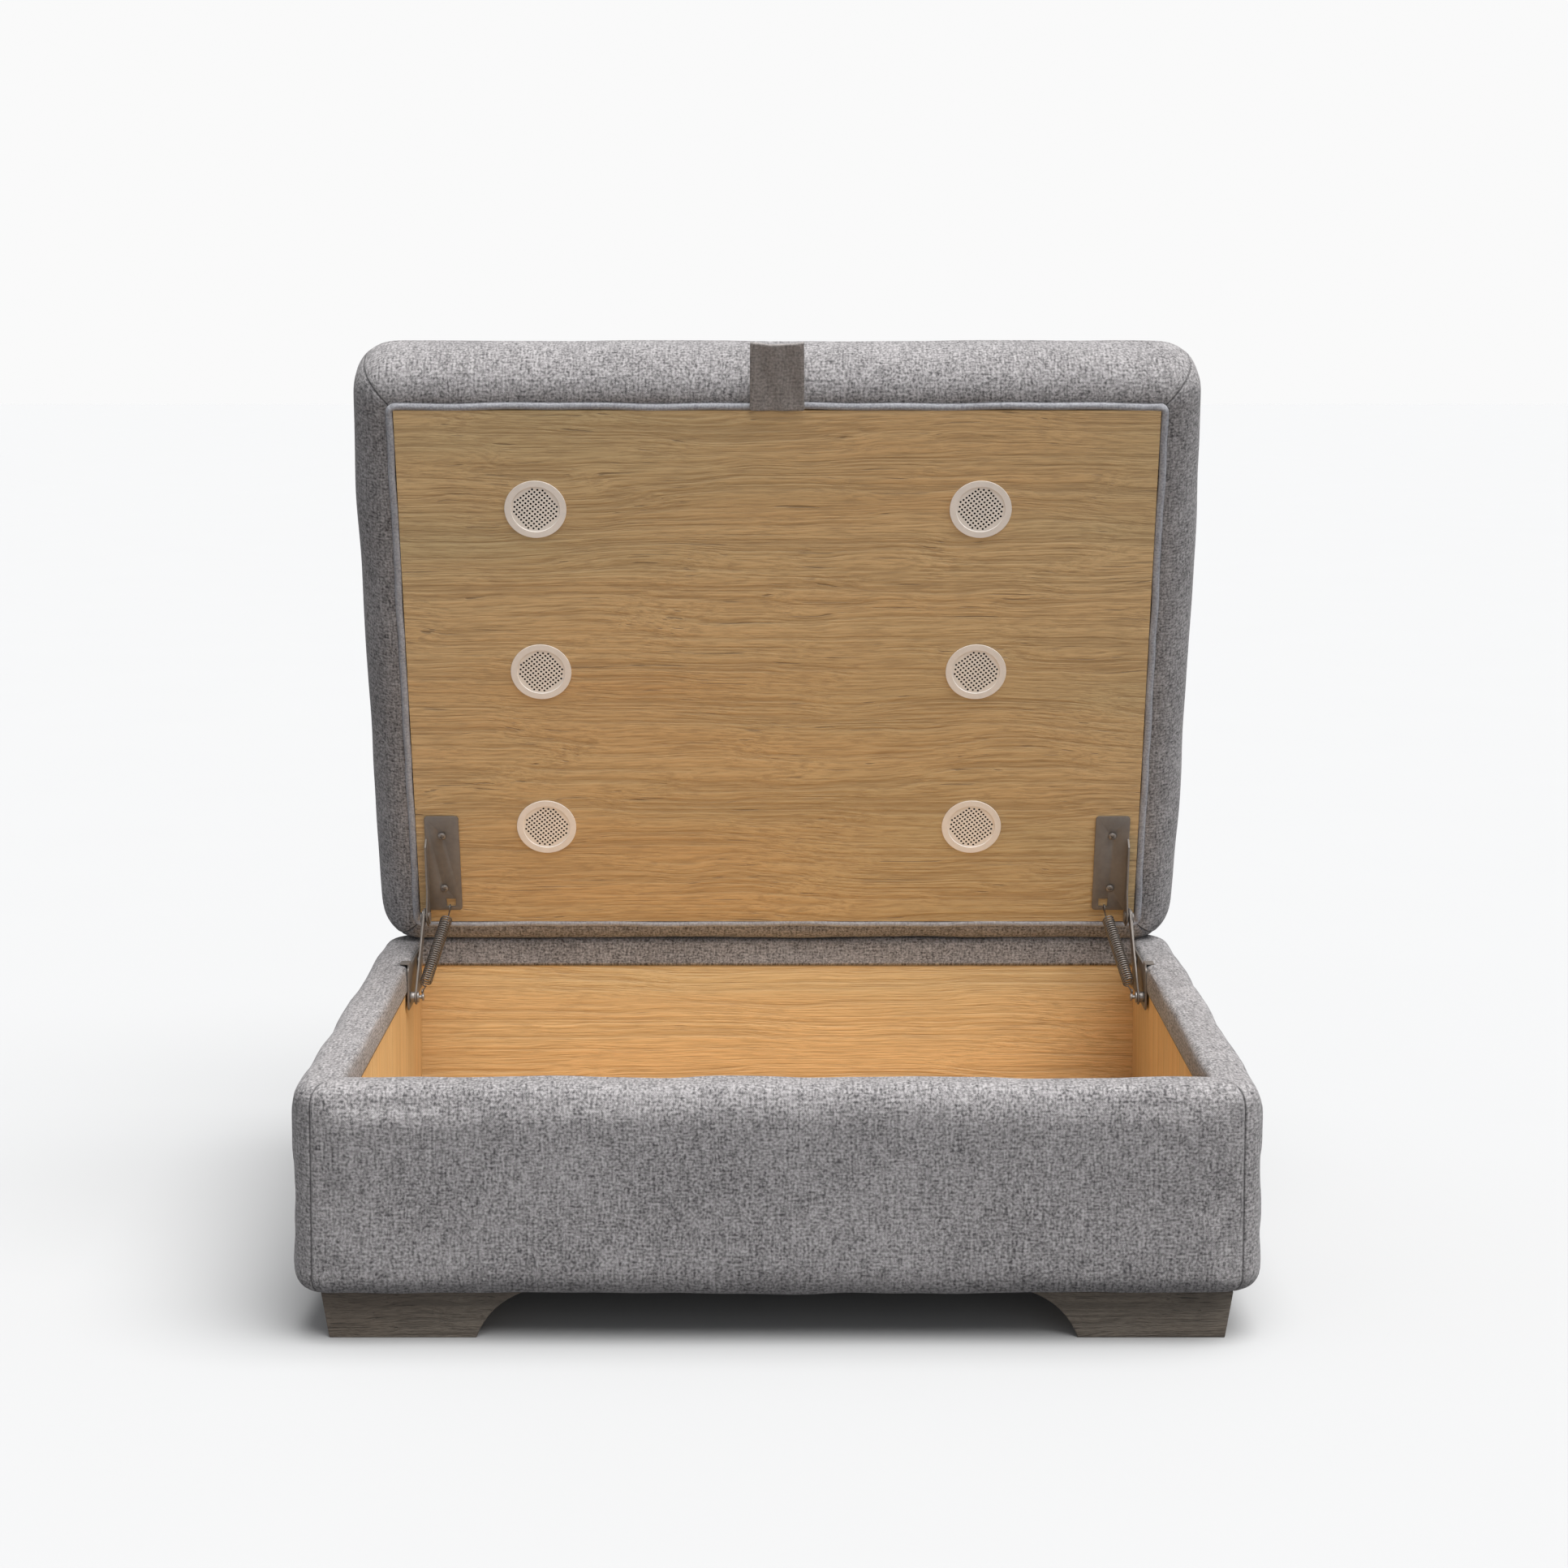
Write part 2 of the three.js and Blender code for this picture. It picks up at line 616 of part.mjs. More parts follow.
function pivotA() {
  const collar = FRONT_ARM_X + GAP;
  const inner = FRONT_ARM_X - STEEL - GAP;
  const end = FACE_X - STEEL - STUD_LENGTH;
  const profile = [
    [0, end - 2], [RIVET_RADIUS + 1, end - 2], [RIVET_RADIUS + 1, end], [RIVET_RADIUS - 1, end],
    [RIVET_RADIUS - 1, inner - 2], [RIVET_HEAD, inner - 2], [RIVET_HEAD, inner], [RIVET_RADIUS, inner],
    [RIVET_RADIUS, collar], [RIVET_HEAD, collar], [RIVET_HEAD, FACE_X - STEEL - GAP],
    [RIVET_RADIUS, FACE_X - STEEL - GAP], [RIVET_RADIUS, FACE_X], [0, FACE_X],
  ];
  return turnedInX(profile, A.x, A.y);
}

function pivotB() {
  const inner = REAR_ARM_X - STEEL - GAP;
  const collar = RIVET_RADIUS + 2;
  const profile = [
    [0, inner - HEAD_THICK], [RIVET_HEAD, inner - HEAD_THICK], [RIVET_HEAD, inner], [RIVET_RADIUS, inner],
    [RIVET_RADIUS, REAR_ARM_X + GAP], [collar, REAR_ARM_X + GAP], [collar, FACE_X - STEEL - GAP],
    [RIVET_RADIUS, FACE_X - STEEL - GAP], [RIVET_RADIUS, FACE_X], [0, FACE_X],
  ];
  return turnedInX(profile, B.x, B.y);
}

// A rivet from the lid flange to an arm: a head inside the flange and one behind the arm.
function armRivet(point, armX, innerHead) {
  const flangeIn = FLANGE_X - STEEL - GAP;
  const armOut = armX + GAP;
  const profile = [
    [0, flangeIn - HEAD_THICK], [innerHead, flangeIn - HEAD_THICK], [innerHead, flangeIn],
    [RIVET_RADIUS, flangeIn], [RIVET_RADIUS, armOut], [RIVET_HEAD, armOut],
    [RIVET_HEAD, armOut + HEAD_THICK], [0, armOut + HEAD_THICK],
  ];
  return turnedInX(profile, point.x, point.y);
}

// The lid plate, in the lid's own axes: a flat strap on the board and a flange that carries C and D.
function lidPlate() {
  const inner = FLANGE_X - PLATE_WIDTH;
  const strap = roundedOutline(inner, FLANGE_X, PLATE_START, PLATE_START + PLATE_LENGTH, 4);
  LID_SCREWS.forEach((place) => strap.holes.push(roundHole(PLATE_X, place, SCREW_RADIUS + GAP)));
  const half = LATCH_HOLE / 2;
  const window = new THREE.Path();
  window.moveTo(SPRING_X - half, LATCH_PLACE + 3 - half);
  window.lineTo(SPRING_X - half, LATCH_PLACE + 3 + half);
  window.lineTo(SPRING_X + half, LATCH_PLACE + 3 + half);
  window.lineTo(SPRING_X + half, LATCH_PLACE + 3 - half);
  strap.holes.push(window);
  const flat = new THREE.ExtrudeGeometry(strap, { depth: STEEL, bevelEnabled: false, curveSegments: 4 });
  flat.translate(0, 0, GAP);
  const eye = RIVET_RADIUS + OPEN_PIVOT_PLAY + 3.4;
  const flange = new THREE.Shape();
  flange.moveTo(PIVOT_D.along - eye, GAP);
  flange.lineTo(PLATE_START + 98, GAP);
  flange.lineTo(PLATE_START + 92, 14);
  flange.lineTo(PIVOT_C.along + 26, 19);
  flange.lineTo(PIVOT_C.along + eye * 0.75, PIVOT_C.out + eye * 0.7);
  flange.lineTo(PIVOT_C.along - eye * 0.3, PIVOT_C.out + eye);
  flange.lineTo(PIVOT_D.along - eye * 0.9, PIVOT_D.out + eye * 0.6);
  flange.holes.push(roundHole(PIVOT_C.along, PIVOT_C.out, RIVET_RADIUS + GAP));
  flange.holes.push(roundHole(PIVOT_D.along, PIVOT_D.out, RIVET_RADIUS + OPEN_PIVOT_PLAY));
  return join(flat, plateInX(flange, FLANGE_X - STEEL, FLANGE_X));
}

function panHeadScrew(length) {
  return [
    [0, -length], [SCREW_RADIUS - 0.8, -length], [SCREW_RADIUS, 3 - length], [SCREW_RADIUS, STEEL + GAP],
    [SCREW_HEAD, STEEL + GAP], [SCREW_HEAD, STEEL + GAP + 0.8], [SCREW_HEAD * 0.72, STEEL + GAP + 2.1],
    [0, STEEL + GAP + 2.6],
  ];
}

function lidScrew(place) {
  const profile = panHeadScrew(BOARD_THICK - 2).map(([radius, z]) => [radius, z + GAP]);
  return turnedInZ(profile, PLATE_X, place, 12);
}

function baseScrew(point) {
  const profile = panHeadScrew(PANEL - 2).map(([radius, x]) => [radius, -x]);
  return turnedInX(profile.reverse(), point.x, point.y, 12).translate(FACE_X, 0, 0);
}

// A draw spring from the stud on pivot A to the window in the lid plate.
function springEnds() {
  const stud = new THREE.Vector3(FACE_X - STEEL - STUD_LENGTH + 2.2, A.x, A.y);
  const window = lidPoint(LATCH_PLACE, STEEL);
  return [stud, new THREE.Vector3(SPRING_X, window.x, window.y)];
}

function spring() {
  const [stud, hook] = springEnds();
  const length = stud.distanceTo(hook);
  const start = RIVET_RADIUS + 1.5;
  const finish = length - 2.5;
  const coilStart = start + 9;
  const coilEnd = finish - 12;
  const profile = [
    [0, start], [SPRING_WIRE, start], [SPRING_WIRE, coilStart], [SPRING_RADIUS, coilStart + 2],
    [SPRING_RADIUS, coilEnd - 2], [SPRING_WIRE, coilEnd], [SPRING_WIRE, finish], [0, finish],
  ].map(([radius, y]) => new THREE.Vector2(radius, y));
  const geometry = new THREE.LatheGeometry(profile, 12);
  const along = hook.clone().sub(stud).normalize();
  const turn = new THREE.Quaternion().setFromUnitVectors(new THREE.Vector3(0, 1, 0), along);
  return geometry.applyQuaternion(turn).translate(stud.x, stud.y, stud.z);
}

function addHinges(root, lid) {
  const sides = [["right", (g) => g], ["left", mirrored]];
  sides.forEach(([side, place]) => {
    root.add(named(`${side}_base_plate`, place(basePlate()), "steel"));
    root.add(named(`${side}_stud_rivet`, place(pivotA()), "steel"));
    root.add(named(`${side}_rear_pivot_rivet`, place(pivotB()), "steel"));
    root.add(named(`${side}_front_arm`, place(bar(A, C, FRONT_ARM_WIDTH, FRONT_ARM_X)), "steel"));
    root.add(named(`${side}_rear_arm`, place(bar(B, D, REAR_ARM_WIDTH, REAR_ARM_X)), "steel"));
    root.add(named(`${side}_flange_rivet`, place(armRivet(C, FRONT_ARM_X, SMALL_HEAD)), "steel"));
    root.add(named(`${side}_rear_arm_rivet`, place(armRivet(D, REAR_ARM_X, OPEN_HEAD)), "steel"));
    root.add(named(`${side}_spring`, place(spring()), "steel"));
    lid.add(named(`${side}_lid_plate`, place(lidPlate()), "steel"));
    BASE_SCREWS.forEach((p, i) => {
      root.add(named(`${side}_base_screw_${i + 1}`, place(baseScrew(p)), "steel"));
    });
    LID_SCREWS.forEach((p, i) => {
      lid.add(named(`${side}_lid_screw_${i + 1}`, place(lidScrew(p)), "steel"));
    });
  });
}

// ---- assembly -------------------------------------------------------------------------------

const ottoman = new THREE.Group();
const lid = new THREE.Group();
lid.rotation.x = Math.PI / 2 + LEAN;
lid.position.copy(LID_ORIGIN);
ottoman.add(lid);
addBox(ottoman);
addLid(lid);
addHinges(ottoman, lid);

// The frame's origin is under the middle of the open ottoman's box.
ottoman.updateMatrixWorld(true);
const extent = new THREE.Box3().setFromObject(ottoman, true);
ottoman.position.y = -(extent.min.y + extent.max.y) / 2;

export default ottoman;
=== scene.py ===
import json
import math

import bmesh
import bpy
from mathutils import Matrix, Vector

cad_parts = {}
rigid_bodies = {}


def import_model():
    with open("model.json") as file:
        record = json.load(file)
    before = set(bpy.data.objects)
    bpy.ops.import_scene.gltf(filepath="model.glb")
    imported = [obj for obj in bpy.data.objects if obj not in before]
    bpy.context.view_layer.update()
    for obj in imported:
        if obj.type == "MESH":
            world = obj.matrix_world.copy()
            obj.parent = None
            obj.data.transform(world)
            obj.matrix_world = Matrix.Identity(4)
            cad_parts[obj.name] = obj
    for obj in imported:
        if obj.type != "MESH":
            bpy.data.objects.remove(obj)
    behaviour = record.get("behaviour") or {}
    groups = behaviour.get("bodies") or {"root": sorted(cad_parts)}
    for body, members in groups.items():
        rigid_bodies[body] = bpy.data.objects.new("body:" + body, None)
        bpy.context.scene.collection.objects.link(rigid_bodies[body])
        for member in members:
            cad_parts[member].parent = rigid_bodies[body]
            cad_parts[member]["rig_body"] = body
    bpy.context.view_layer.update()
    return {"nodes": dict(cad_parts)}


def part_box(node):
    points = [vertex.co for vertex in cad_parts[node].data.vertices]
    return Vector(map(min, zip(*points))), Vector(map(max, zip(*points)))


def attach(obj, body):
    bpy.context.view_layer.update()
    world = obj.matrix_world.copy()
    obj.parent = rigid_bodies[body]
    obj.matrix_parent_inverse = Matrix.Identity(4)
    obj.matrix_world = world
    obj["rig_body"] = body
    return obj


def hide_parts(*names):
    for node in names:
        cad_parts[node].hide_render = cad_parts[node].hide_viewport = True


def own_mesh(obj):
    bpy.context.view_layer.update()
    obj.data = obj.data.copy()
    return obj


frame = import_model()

nodes = frame["nodes"]

# ---------------------------------------------------------------- camera
# A long lens at standing height in front of the ottoman, tipped a little down.
CAMERA_PLACE = Vector((0, -3.3298, 1.01454))
CAMERA_DIP = math.radians(4.7485)
camera_data = bpy.data.cameras.new("camera")
camera_data.lens = 70.135
camera_data.sensor_width = 36
camera_data.shift_x = 0.0044
camera_data.shift_y = -0.14
camera = bpy.data.objects.new("camera", camera_data)
camera.location = CAMERA_PLACE
camera.rotation_euler = (math.pi / 2 - CAMERA_DIP, 0, 0)
bpy.context.scene.collection.objects.link(camera)
bpy.context.scene.camera = camera


# ---------------------------------------------------------------- studio
# A pale floor without a visible end, a broad soft light from above on the right, a weak one from in
# front, and an even light from all round.
class Socket:
    """An output of a material's node tree. Arithmetic on it adds Math nodes."""

    def __init__(self, tree, plug):
        self.tree = tree
        self.plug = plug

    def node(self, kind, settings=None, sockets=None, output=0):
        """Adds a node, sets it up, fills its inputs with numbers or links, and gives one output."""
        made = self.tree.nodes.new("ShaderNode" + kind)
        for name, value in (settings or {}).items():
            if name == "stops":
                ramp = made.color_ramp
                while len(ramp.elements) < len(value):
                    ramp.elements.new(1)
                for stop, (at, tone) in zip(ramp.elements, value):
                    stop.position = at
                    stop.color = (tone, tone, tone, 1)
            else:
                setattr(made, name, value)
        for key, value in (sockets or {}).items():
            if isinstance(value, Socket):
                self.tree.links.new(value.plug, made.inputs[key])
            else:
                made.inputs[key].default_value = value
        return Socket(self.tree, made.outputs[output])

    def maths(self, operation, first, second):
        return self.node("Math", {"operation": operation}, {0: first, 1: second})

    def __add__(self, other):
        return self.maths("ADD", self, other)

    def __sub__(self, other):
        return self.maths("SUBTRACT", self, other)

    def __rsub__(self, other):
        return self.maths("SUBTRACT", other, self)

    def __mul__(self, other):
        return self.maths("MULTIPLY", self, other)

    __radd__ = __add__
    __rmul__ = __mul__


def new_material(name):
    """A material with its shader, and its object coordinates as a Socket."""
    made = bpy.data.materials.new(name)
    made.use_nodes = True
    tree = made.node_tree
    place = Socket(tree, tree.nodes.new("ShaderNodeTexCoord").outputs["Object"])
    return made, tree.nodes["Principled BSDF"], place


def scaled(vector, x, y, z):
    return vector.node("VectorMath", {"operation": "MULTIPLY"}, {0: vector, 1: (x, y, z)})


def noise(vector, scale, detail=2.0, rough=0.5):
    return vector.node(
        "TexNoise", {}, {"Vector": vector, "Scale": scale, "Detail": detail, "Roughness": rough}
    )


def ramp(value, *stops):
    """The value drawn through grey stops, each a place and a tone."""
    return value.node("ValToRGB", {"stops": stops}, {0: value})


def tint(share, first, second):
    """The first colour where share is 0, and the second where it is 1."""
    colours = [c if isinstance(c, Socket) else (*c, 1) for c in (first, second)]
    return share.node("Mix", {"data_type": "RGBA"}, {0: share, 6: colours[0], 7: colours[1]}, 2)


def put_on(piece, material):
    piece.data.materials.clear()
    piece.data.materials.append(material)


def bump(shader, height, depth, strength=1.0):
    made = height.node("Bump", {}, {"Height": height, "Distance": depth, "Strength": strength})
    height.tree.links.new(made.plug, shader.inputs["Normal"])


def paint(shader, name, value):
    if isinstance(value, Socket):
        value.tree.links.new(value.plug, shader.inputs[name])
    else:
        shader.inputs[name].default_value = value


FLOOR_SIZE = 60
bpy.ops.object.select_all(action="DESELECT")
bpy.ops.mesh.primitive_plane_add(size=FLOOR_SIZE, location=(0, 0, 0))
floor = bpy.context.object
floor.name = "studio_floor"
floor_paint, floor_shader, floor_place = new_material("studio_floor")
FLOOR_TONES = ((0.441, 0.441, 0.441), (0.446, 0.446, 0.446))
paint(floor_shader, "Base Color", tint(noise(floor_place, 3), *FLOOR_TONES))
floor_shader.inputs["Roughness"].default_value = 1
floor_shader.inputs["Specular IOR Level"].default_value = 0
put_on(floor, floor_paint)
floor.visible_diffuse = False

for name, energy, spread, towards in (
    ("key", 5.4, 60, (0.30, -0.25, 1)),
    ("fill", 0.5, 60, (0.15, -1, 0.05)),
):
    lamp = bpy.data.lights.new(name, "SUN")
    lamp.energy = energy
    lamp.angle = math.radians(spread)
    light = bpy.data.objects.new(name, lamp)
    light.rotation_euler = Vector(towards).to_track_quat("Z", "Y").to_euler()
    bpy.context.scene.collection.objects.link(light)

world = bpy.data.worlds.new("studio")
world.use_nodes = True
sky = world.node_tree
dome = Socket(sky, sky.nodes.new("ShaderNodeTexCoord").outputs["Generated"])
height = Socket(sky, dome.node("SeparateXYZ", {}, {0: dome}).plug.node.outputs[2])
GLOW_BELOW = (0.22, 0.22, 0.228)
GLOW_ABOVE = (0.50, 0.51, 0.525)
glow = tint(ramp(height * 0.5 + 0.5, (0.4, 0), (0.6, 1)), GLOW_BELOW, GLOW_ABOVE)
sky.links.new(glow.plug, sky.nodes["Background"].inputs["Color"])
backdrop = sky.nodes.new("ShaderNodeBackground")
BACKDROP_TONE = 0.955
backdrop.inputs["Color"].default_value = (BACKDROP_TONE, BACKDROP_TONE, BACKDROP_TONE, 1)
chooser = sky.nodes.new("ShaderNodeMixShader")
seen = sky.nodes.new("ShaderNodeLightPath")
sky.links.new(seen.outputs["Is Camera Ray"], chooser.inputs[0])
sky.links.new(sky.nodes["Background"].outputs[0], chooser.inputs[1])
sky.links.new(backdrop.outputs[0], chooser.inputs[2])
sky.links.new(chooser.outputs[0], sky.nodes["World Output"].inputs[0])
bpy.context.scene.world = world
bpy.context.scene.view_settings.view_transform = "Standard"

# ---------------------------------------------------------------- box cover
# The fabric cover of the box over its foam: one band round the outside, drawn over the rails and
# stapled down inside them, with a plain seam up each corner.
HOOP_STEPS = 6
HOOP_POINTS = 4 * (HOOP_STEPS + 1)


def new_piece(name):
    """An empty mesh object in edit mode, alone in the selection."""
    if bpy.context.object and bpy.context.object.mode == "EDIT":
        bpy.ops.object.mode_set(mode="OBJECT")
    bpy.ops.object.select_all(action="DESELECT")
    piece = bpy.data.objects.new(name, bpy.data.meshes.new(name))
    bpy.context.scene.collection.objects.link(piece)
    bpy.context.view_layer.objects.active = piece
    piece.select_set(True)
    bpy.ops.object.mode_set(mode="EDIT")
    return piece


def choose(kind, test):
    """Selects the vertices, edges or faces that pass the test, and nothing else."""
    bpy.ops.mesh.select_mode(type=kind)
    bpy.ops.mesh.select_all(action="DESELECT")
    shape = bmesh.from_edit_mesh(bpy.context.object.data)
    shape.verts.ensure_lookup_table()
    items = {"VERT": shape.verts, "EDGE": shape.edges, "FACE": shape.faces}[kind]
    for item in [item for item in items if test(item)]:
        item.select_set(True)
    shape.select_flush_mode()
    bmesh.update_edit_mesh(bpy.context.object.data)


def middle(edge):
    return (edge.verts[0].co + edge.verts[1].co) / 2


def runs(edge, axis):
    """How far an edge runs along an axis, as a share of its length."""
    span = edge.verts[0].co - edge.verts[1].co
    return abs(span[axis]) / max(span.length, 1e-9)


def join_hoops(back):
    """Bridges the last hoop to the one made so many hoops before it."""
    shape = bmesh.from_edit_mesh(bpy.context.object.data)
    count = len(shape.verts)
    wanted = set()
    for place in (0, back):
        wanted |= set(range(count - (place + 1) * HOOP_POINTS, count - place * HOOP_POINTS))
    choose("VERT", lambda v: v.index in wanted)
    bpy.ops.mesh.bridge_edge_loops()


def hoop(half_x, low_y, high_y, radius, z, joined=True, drop=0.0):
    """A rounded rectangle of edges at height z, bridged to the one before. One that is level with
    the one before is bridged from lower down by a drop, and then raised."""
    z -= drop
    bpy.ops.mesh.select_mode(type="VERT")
    bpy.ops.mesh.select_all(action="DESELECT")
    centre = (0, (low_y + high_y) / 2, z)
    bpy.ops.mesh.primitive_plane_add(size=1, location=centre)
    bpy.ops.transform.resize(value=(2 * half_x, high_y - low_y, 1), center_override=centre)
    bpy.ops.mesh.bevel(offset=radius, segments=HOOP_STEPS, affect="VERTICES")
    bpy.ops.mesh.delete(type="ONLY_FACE")
    if joined:
        join_hoops(1)
    if drop:
        shape = bmesh.from_edit_mesh(bpy.context.object.data)
        newest = len(shape.verts) - HOOP_POINTS
        choose("VERT", lambda v: v.index >= newest)
        bpy.ops.transform.translate(value=(0, 0, drop))


ALONG = 0.97
SIDE_LENGTH = 0.3
TINY = 2e-5


def cut_long(axis, longer_than, cuts, test=lambda edge: True):
    """Divides the edges that run along an axis and are longer than a length."""
    choose("EDGE", lambda e: e.calc_length() > longer_than and runs(e, axis) > ALONG and test(e))
    bpy.ops.mesh.subdivide(number_cuts=cuts)


def leave_edit(piece, smooth=40):
    """Turns the faces outwards, leaves edit mode and smooths all but the sharp edges."""
    bpy.ops.mesh.select_all(action="SELECT")
    bpy.ops.mesh.remove_doubles(threshold=1e-6)
    bpy.ops.mesh.normals_make_consistent(inside=False)
    bpy.ops.object.mode_set(mode="OBJECT")
    bpy.ops.object.shade_smooth_by_angle(angle=math.radians(smooth))


def apply_modifier(piece, kind, **settings):
    """Adds a modifier, sets it up and applies it."""
    bpy.context.view_layer.objects.active = piece
    added = piece.modifiers.new(kind.lower(), kind)
    for name, value in settings.items():
        setattr(added, name, value)
    bpy.ops.object.modifier_apply(modifier=added.name)


def swell(piece, loose, pressure, furthest):
    """Blows the loose part of a cover out by cloth simulation, by no more than a furthest distance."""
    start = [(v.co.copy(), v.normal.copy()) for v in piece.data.vertices]
    held = piece.vertex_groups.new(name="held")
    held.add([v.index for v in piece.data.vertices if not loose(v.co)], 1, "REPLACE")
    cloth = piece.modifiers.new("cloth", "CLOTH")
    cloth.settings.quality = 4
    cloth.settings.use_pressure = True
    cloth.settings.uniform_pressure_force = pressure
    cloth.settings.vertex_group_mass = held.name
    cloth.settings.effector_weights.gravity = 0
    cloth.collision_settings.use_collision = False
    cloth.point_cache.frame_end = 20
    for step in range(1, 21):
        bpy.context.scene.frame_set(step)
    bpy.context.view_layer.objects.active = piece
    bpy.ops.object.modifier_apply(modifier=cloth.name)
    bpy.context.scene.frame_set(1)
    for vertex, (place, outwards) in zip(piece.data.vertices, start):
        rise = (vertex.co - place).dot(outwards)
        vertex.co = place + outwards * min(max(rise, 0), furthest)
    piece.vertex_groups.clear()


def ripple(piece, size, strength, where):
    """Moves points in and out by soft random lumps of a size, in metres."""
    group = piece.vertex_groups.new(name="ripple")
    group.add([v.index for v in piece.data.vertices if where(v.co)], 1, "REPLACE")
    lumps = bpy.data.textures.new("lumps", "CLOUDS")
    lumps.noise_scale = size
    lumps.noise_depth = 1
    apply_modifier(
        piece, "DISPLACE", texture=lumps, strength=strength, mid_level=0.5,
        texture_coords="LOCAL", vertex_group="ripple",
    )
    piece.vertex_groups.clear()
    bpy.data.textures.remove(lumps)


def groove(test, place, normal, width, depth):
    """Sews a seam: cuts the chosen faces along a plane, draws the cut line in and marks it for painted
    shade.
    """
    choose("FACE", test)
    bpy.ops.mesh.bisect(plane_co=place, plane_no=normal)
    shape = bmesh.from_edit_mesh(bpy.context.object.data)
    axis = Vector(normal).normalized()
    line = {e for e in shape.edges if e.select and all(
        abs((v.co - Vector(place)).dot(axis)) < TINY for v in e.verts
    )}
    choose("EDGE", lambda e: e in line)
    bpy.ops.mesh.bevel(offset=width, segments=2, affect="EDGES")
    shape = bmesh.from_edit_mesh(bpy.context.object.data)
    # The sewn line is marked in a vertex layer that the cloth's colour reads as painted shade.
    seam_shade_layer = shape.verts.layers.float.get("seam") or shape.verts.layers.float.new("seam")
    shape = bmesh.from_edit_mesh(bpy.context.object.data)
    sewn = {v for f in shape.faces if test(f) for v in f.verts}
    choose("VERT", lambda v: v in sewn and abs((v.co - Vector(place)).dot(axis)) < TINY)
    for vertex in shape.verts:
        if vertex.select:
            vertex[seam_shade_layer] = 1
    bpy.ops.transform.shrink_fatten(value=-depth)


def weave_map(piece):
    """A flat map of the cloth in metres, laid on from the six sides."""
    layers = piece.data.uv_layers
    layer = layers[0] if layers else layers.new()
    layer.name = "weave"
    bpy.ops.object.mode_set(mode="EDIT")
    bpy.ops.mesh.select_all(action="SELECT")
    bpy.ops.uv.cube_project(cube_size=1, correct_aspect=False, scale_to_bounds=False)
    bpy.ops.object.mode_set(mode="OBJECT")


def cloth_material(name, pale, dark, thread=0.0020, mottle=1.0, bump_depth=0.0005):
    """Woven cloth: crossing threads of uneven thickness, mottled from thread to thread, with painted
    shade darkening the cloth along each seam groove."""
    made, shader, place = new_material(name)
    flat = place.node("UVMap", {"uv_map": "weave"})
    along = flat.node("SeparateXYZ", {}, {0: flat})
    across = Socket(along.tree, along.plug.node.outputs[1])
    warp = along.node("Math", {"operation": "SINE"}, {0: along * (2 * math.pi / thread)})
    weft = across.node("Math", {"operation": "SINE"}, {0: across * (2 * math.pi / thread)})
    over = ramp(warp * weft * 0.5 + 0.5, (0.4, 0), (0.6, 1))
    fine = 0.9 / thread
    coarse = 0.16 / thread
    warp_slub = noise(scaled(flat, fine, coarse, 1), 1, 2)
    weft_slub = noise(scaled(flat, coarse, fine, 1), 1, 2)
    slub = warp_slub * over + weft_slub * (1 - over)
    fleck = noise(scaled(flat, fine * 0.8, fine * 0.8, 1), 1, 2, 0.6)
    cloudy = noise(place, 14, 3)
    patch = noise(scaled(flat, 210, 34, 1), 1, 3, 0.6)
    share = (
        ramp(slub, (0.34, 0), (0.66, 1)) * 0.5 + ramp(fleck, (0.36, 0), (0.64, 1)) * 0.5
        + (cloudy - 0.5) * 0.3 + (patch - 0.5) * 0.6
    )
    colour = tint((share - 0.5) * mottle + 0.5, dark, pale)
    # Painted shade along the seams: the marked groove is darkened towards a fifth of the dark tone.
    seam = place.node("Attribute", {"attribute_name": "seam"}, {}, 2)
    paint(shader, "Base Color", tint(seam * 0.75, colour, tuple(c * 0.2 for c in dark)))
    shader.inputs["Roughness"].default_value = 0.92
    shader.inputs["Specular IOR Level"].default_value = 0.2
    shader.inputs["Sheen Weight"].default_value = 0.08
    shader.inputs["Sheen Roughness"].default_value = 0.5
    bump(shader, over * 0.3 + slub * 0.8 + fleck * 0.4, bump_depth, 0.7)
    return made


linen = cloth_material("grey_linen", (0.40, 0.382, 0.381), (0.062, 0.059, 0.0605), mottle=1.25)

PAD_NAMES = ("front_pad", "back_pad", "left_pad", "right_pad")
COVER_START = 0.003
outer_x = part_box("right_pad")[1].x - COVER_START
outer_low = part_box("front_pad")[0].y + COVER_START
outer_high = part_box("back_pad")[1].y - COVER_START
rail_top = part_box("front_pad")[1].z
cover_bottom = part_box("front_pad")[0].z
fold_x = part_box("right_pad")[0].x
fold_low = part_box("front_pad")[1].y
fold_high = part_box("back_pad")[0].y
WALL_GAP = 0.0002
PANEL_TOP_GAP = 0.0003
wall_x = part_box("right_panel")[0].x - WALL_GAP
wall_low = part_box("front_panel")[1].y + WALL_GAP
wall_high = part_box("back_panel")[0].y - WALL_GAP
panel_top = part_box("front_panel")[1].z + PANEL_TOP_GAP
PANEL_THICK = 0.0186
FOLD_DROP = 0.034
PLAN_ROUND = 0.034
INNER_ROUND = 0.003
TOP_ROUND = 0.019
EDGE_ROUND = 0.008
HEM_ROUND = 0.016

cover = new_piece("box_cover")
HEM_STEPS = 4
for step in range(HEM_STEPS + 1):
    angle = math.pi / 2 * step / HEM_STEPS
    inset = HEM_ROUND * (1 - math.sin(angle))
    height = cover_bottom + HEM_ROUND * (1 - math.cos(angle))
    plan = (outer_x - inset, outer_low + inset, outer_high - inset, PLAN_ROUND - inset / 2)
    hoop(*plan, height, step > 0)
ROUND_STEPS = 5
for step in range(ROUND_STEPS + 1):
    angle = math.pi / 2 * step / ROUND_STEPS
    inset = TOP_ROUND * (1 - math.cos(angle))
    height = rail_top - TOP_ROUND * (1 - math.sin(angle))
    plan = (outer_x - inset, outer_low + inset, outer_high - inset, PLAN_ROUND - inset / 2)
    hoop(*plan, height)
EDGE_STEPS = 3
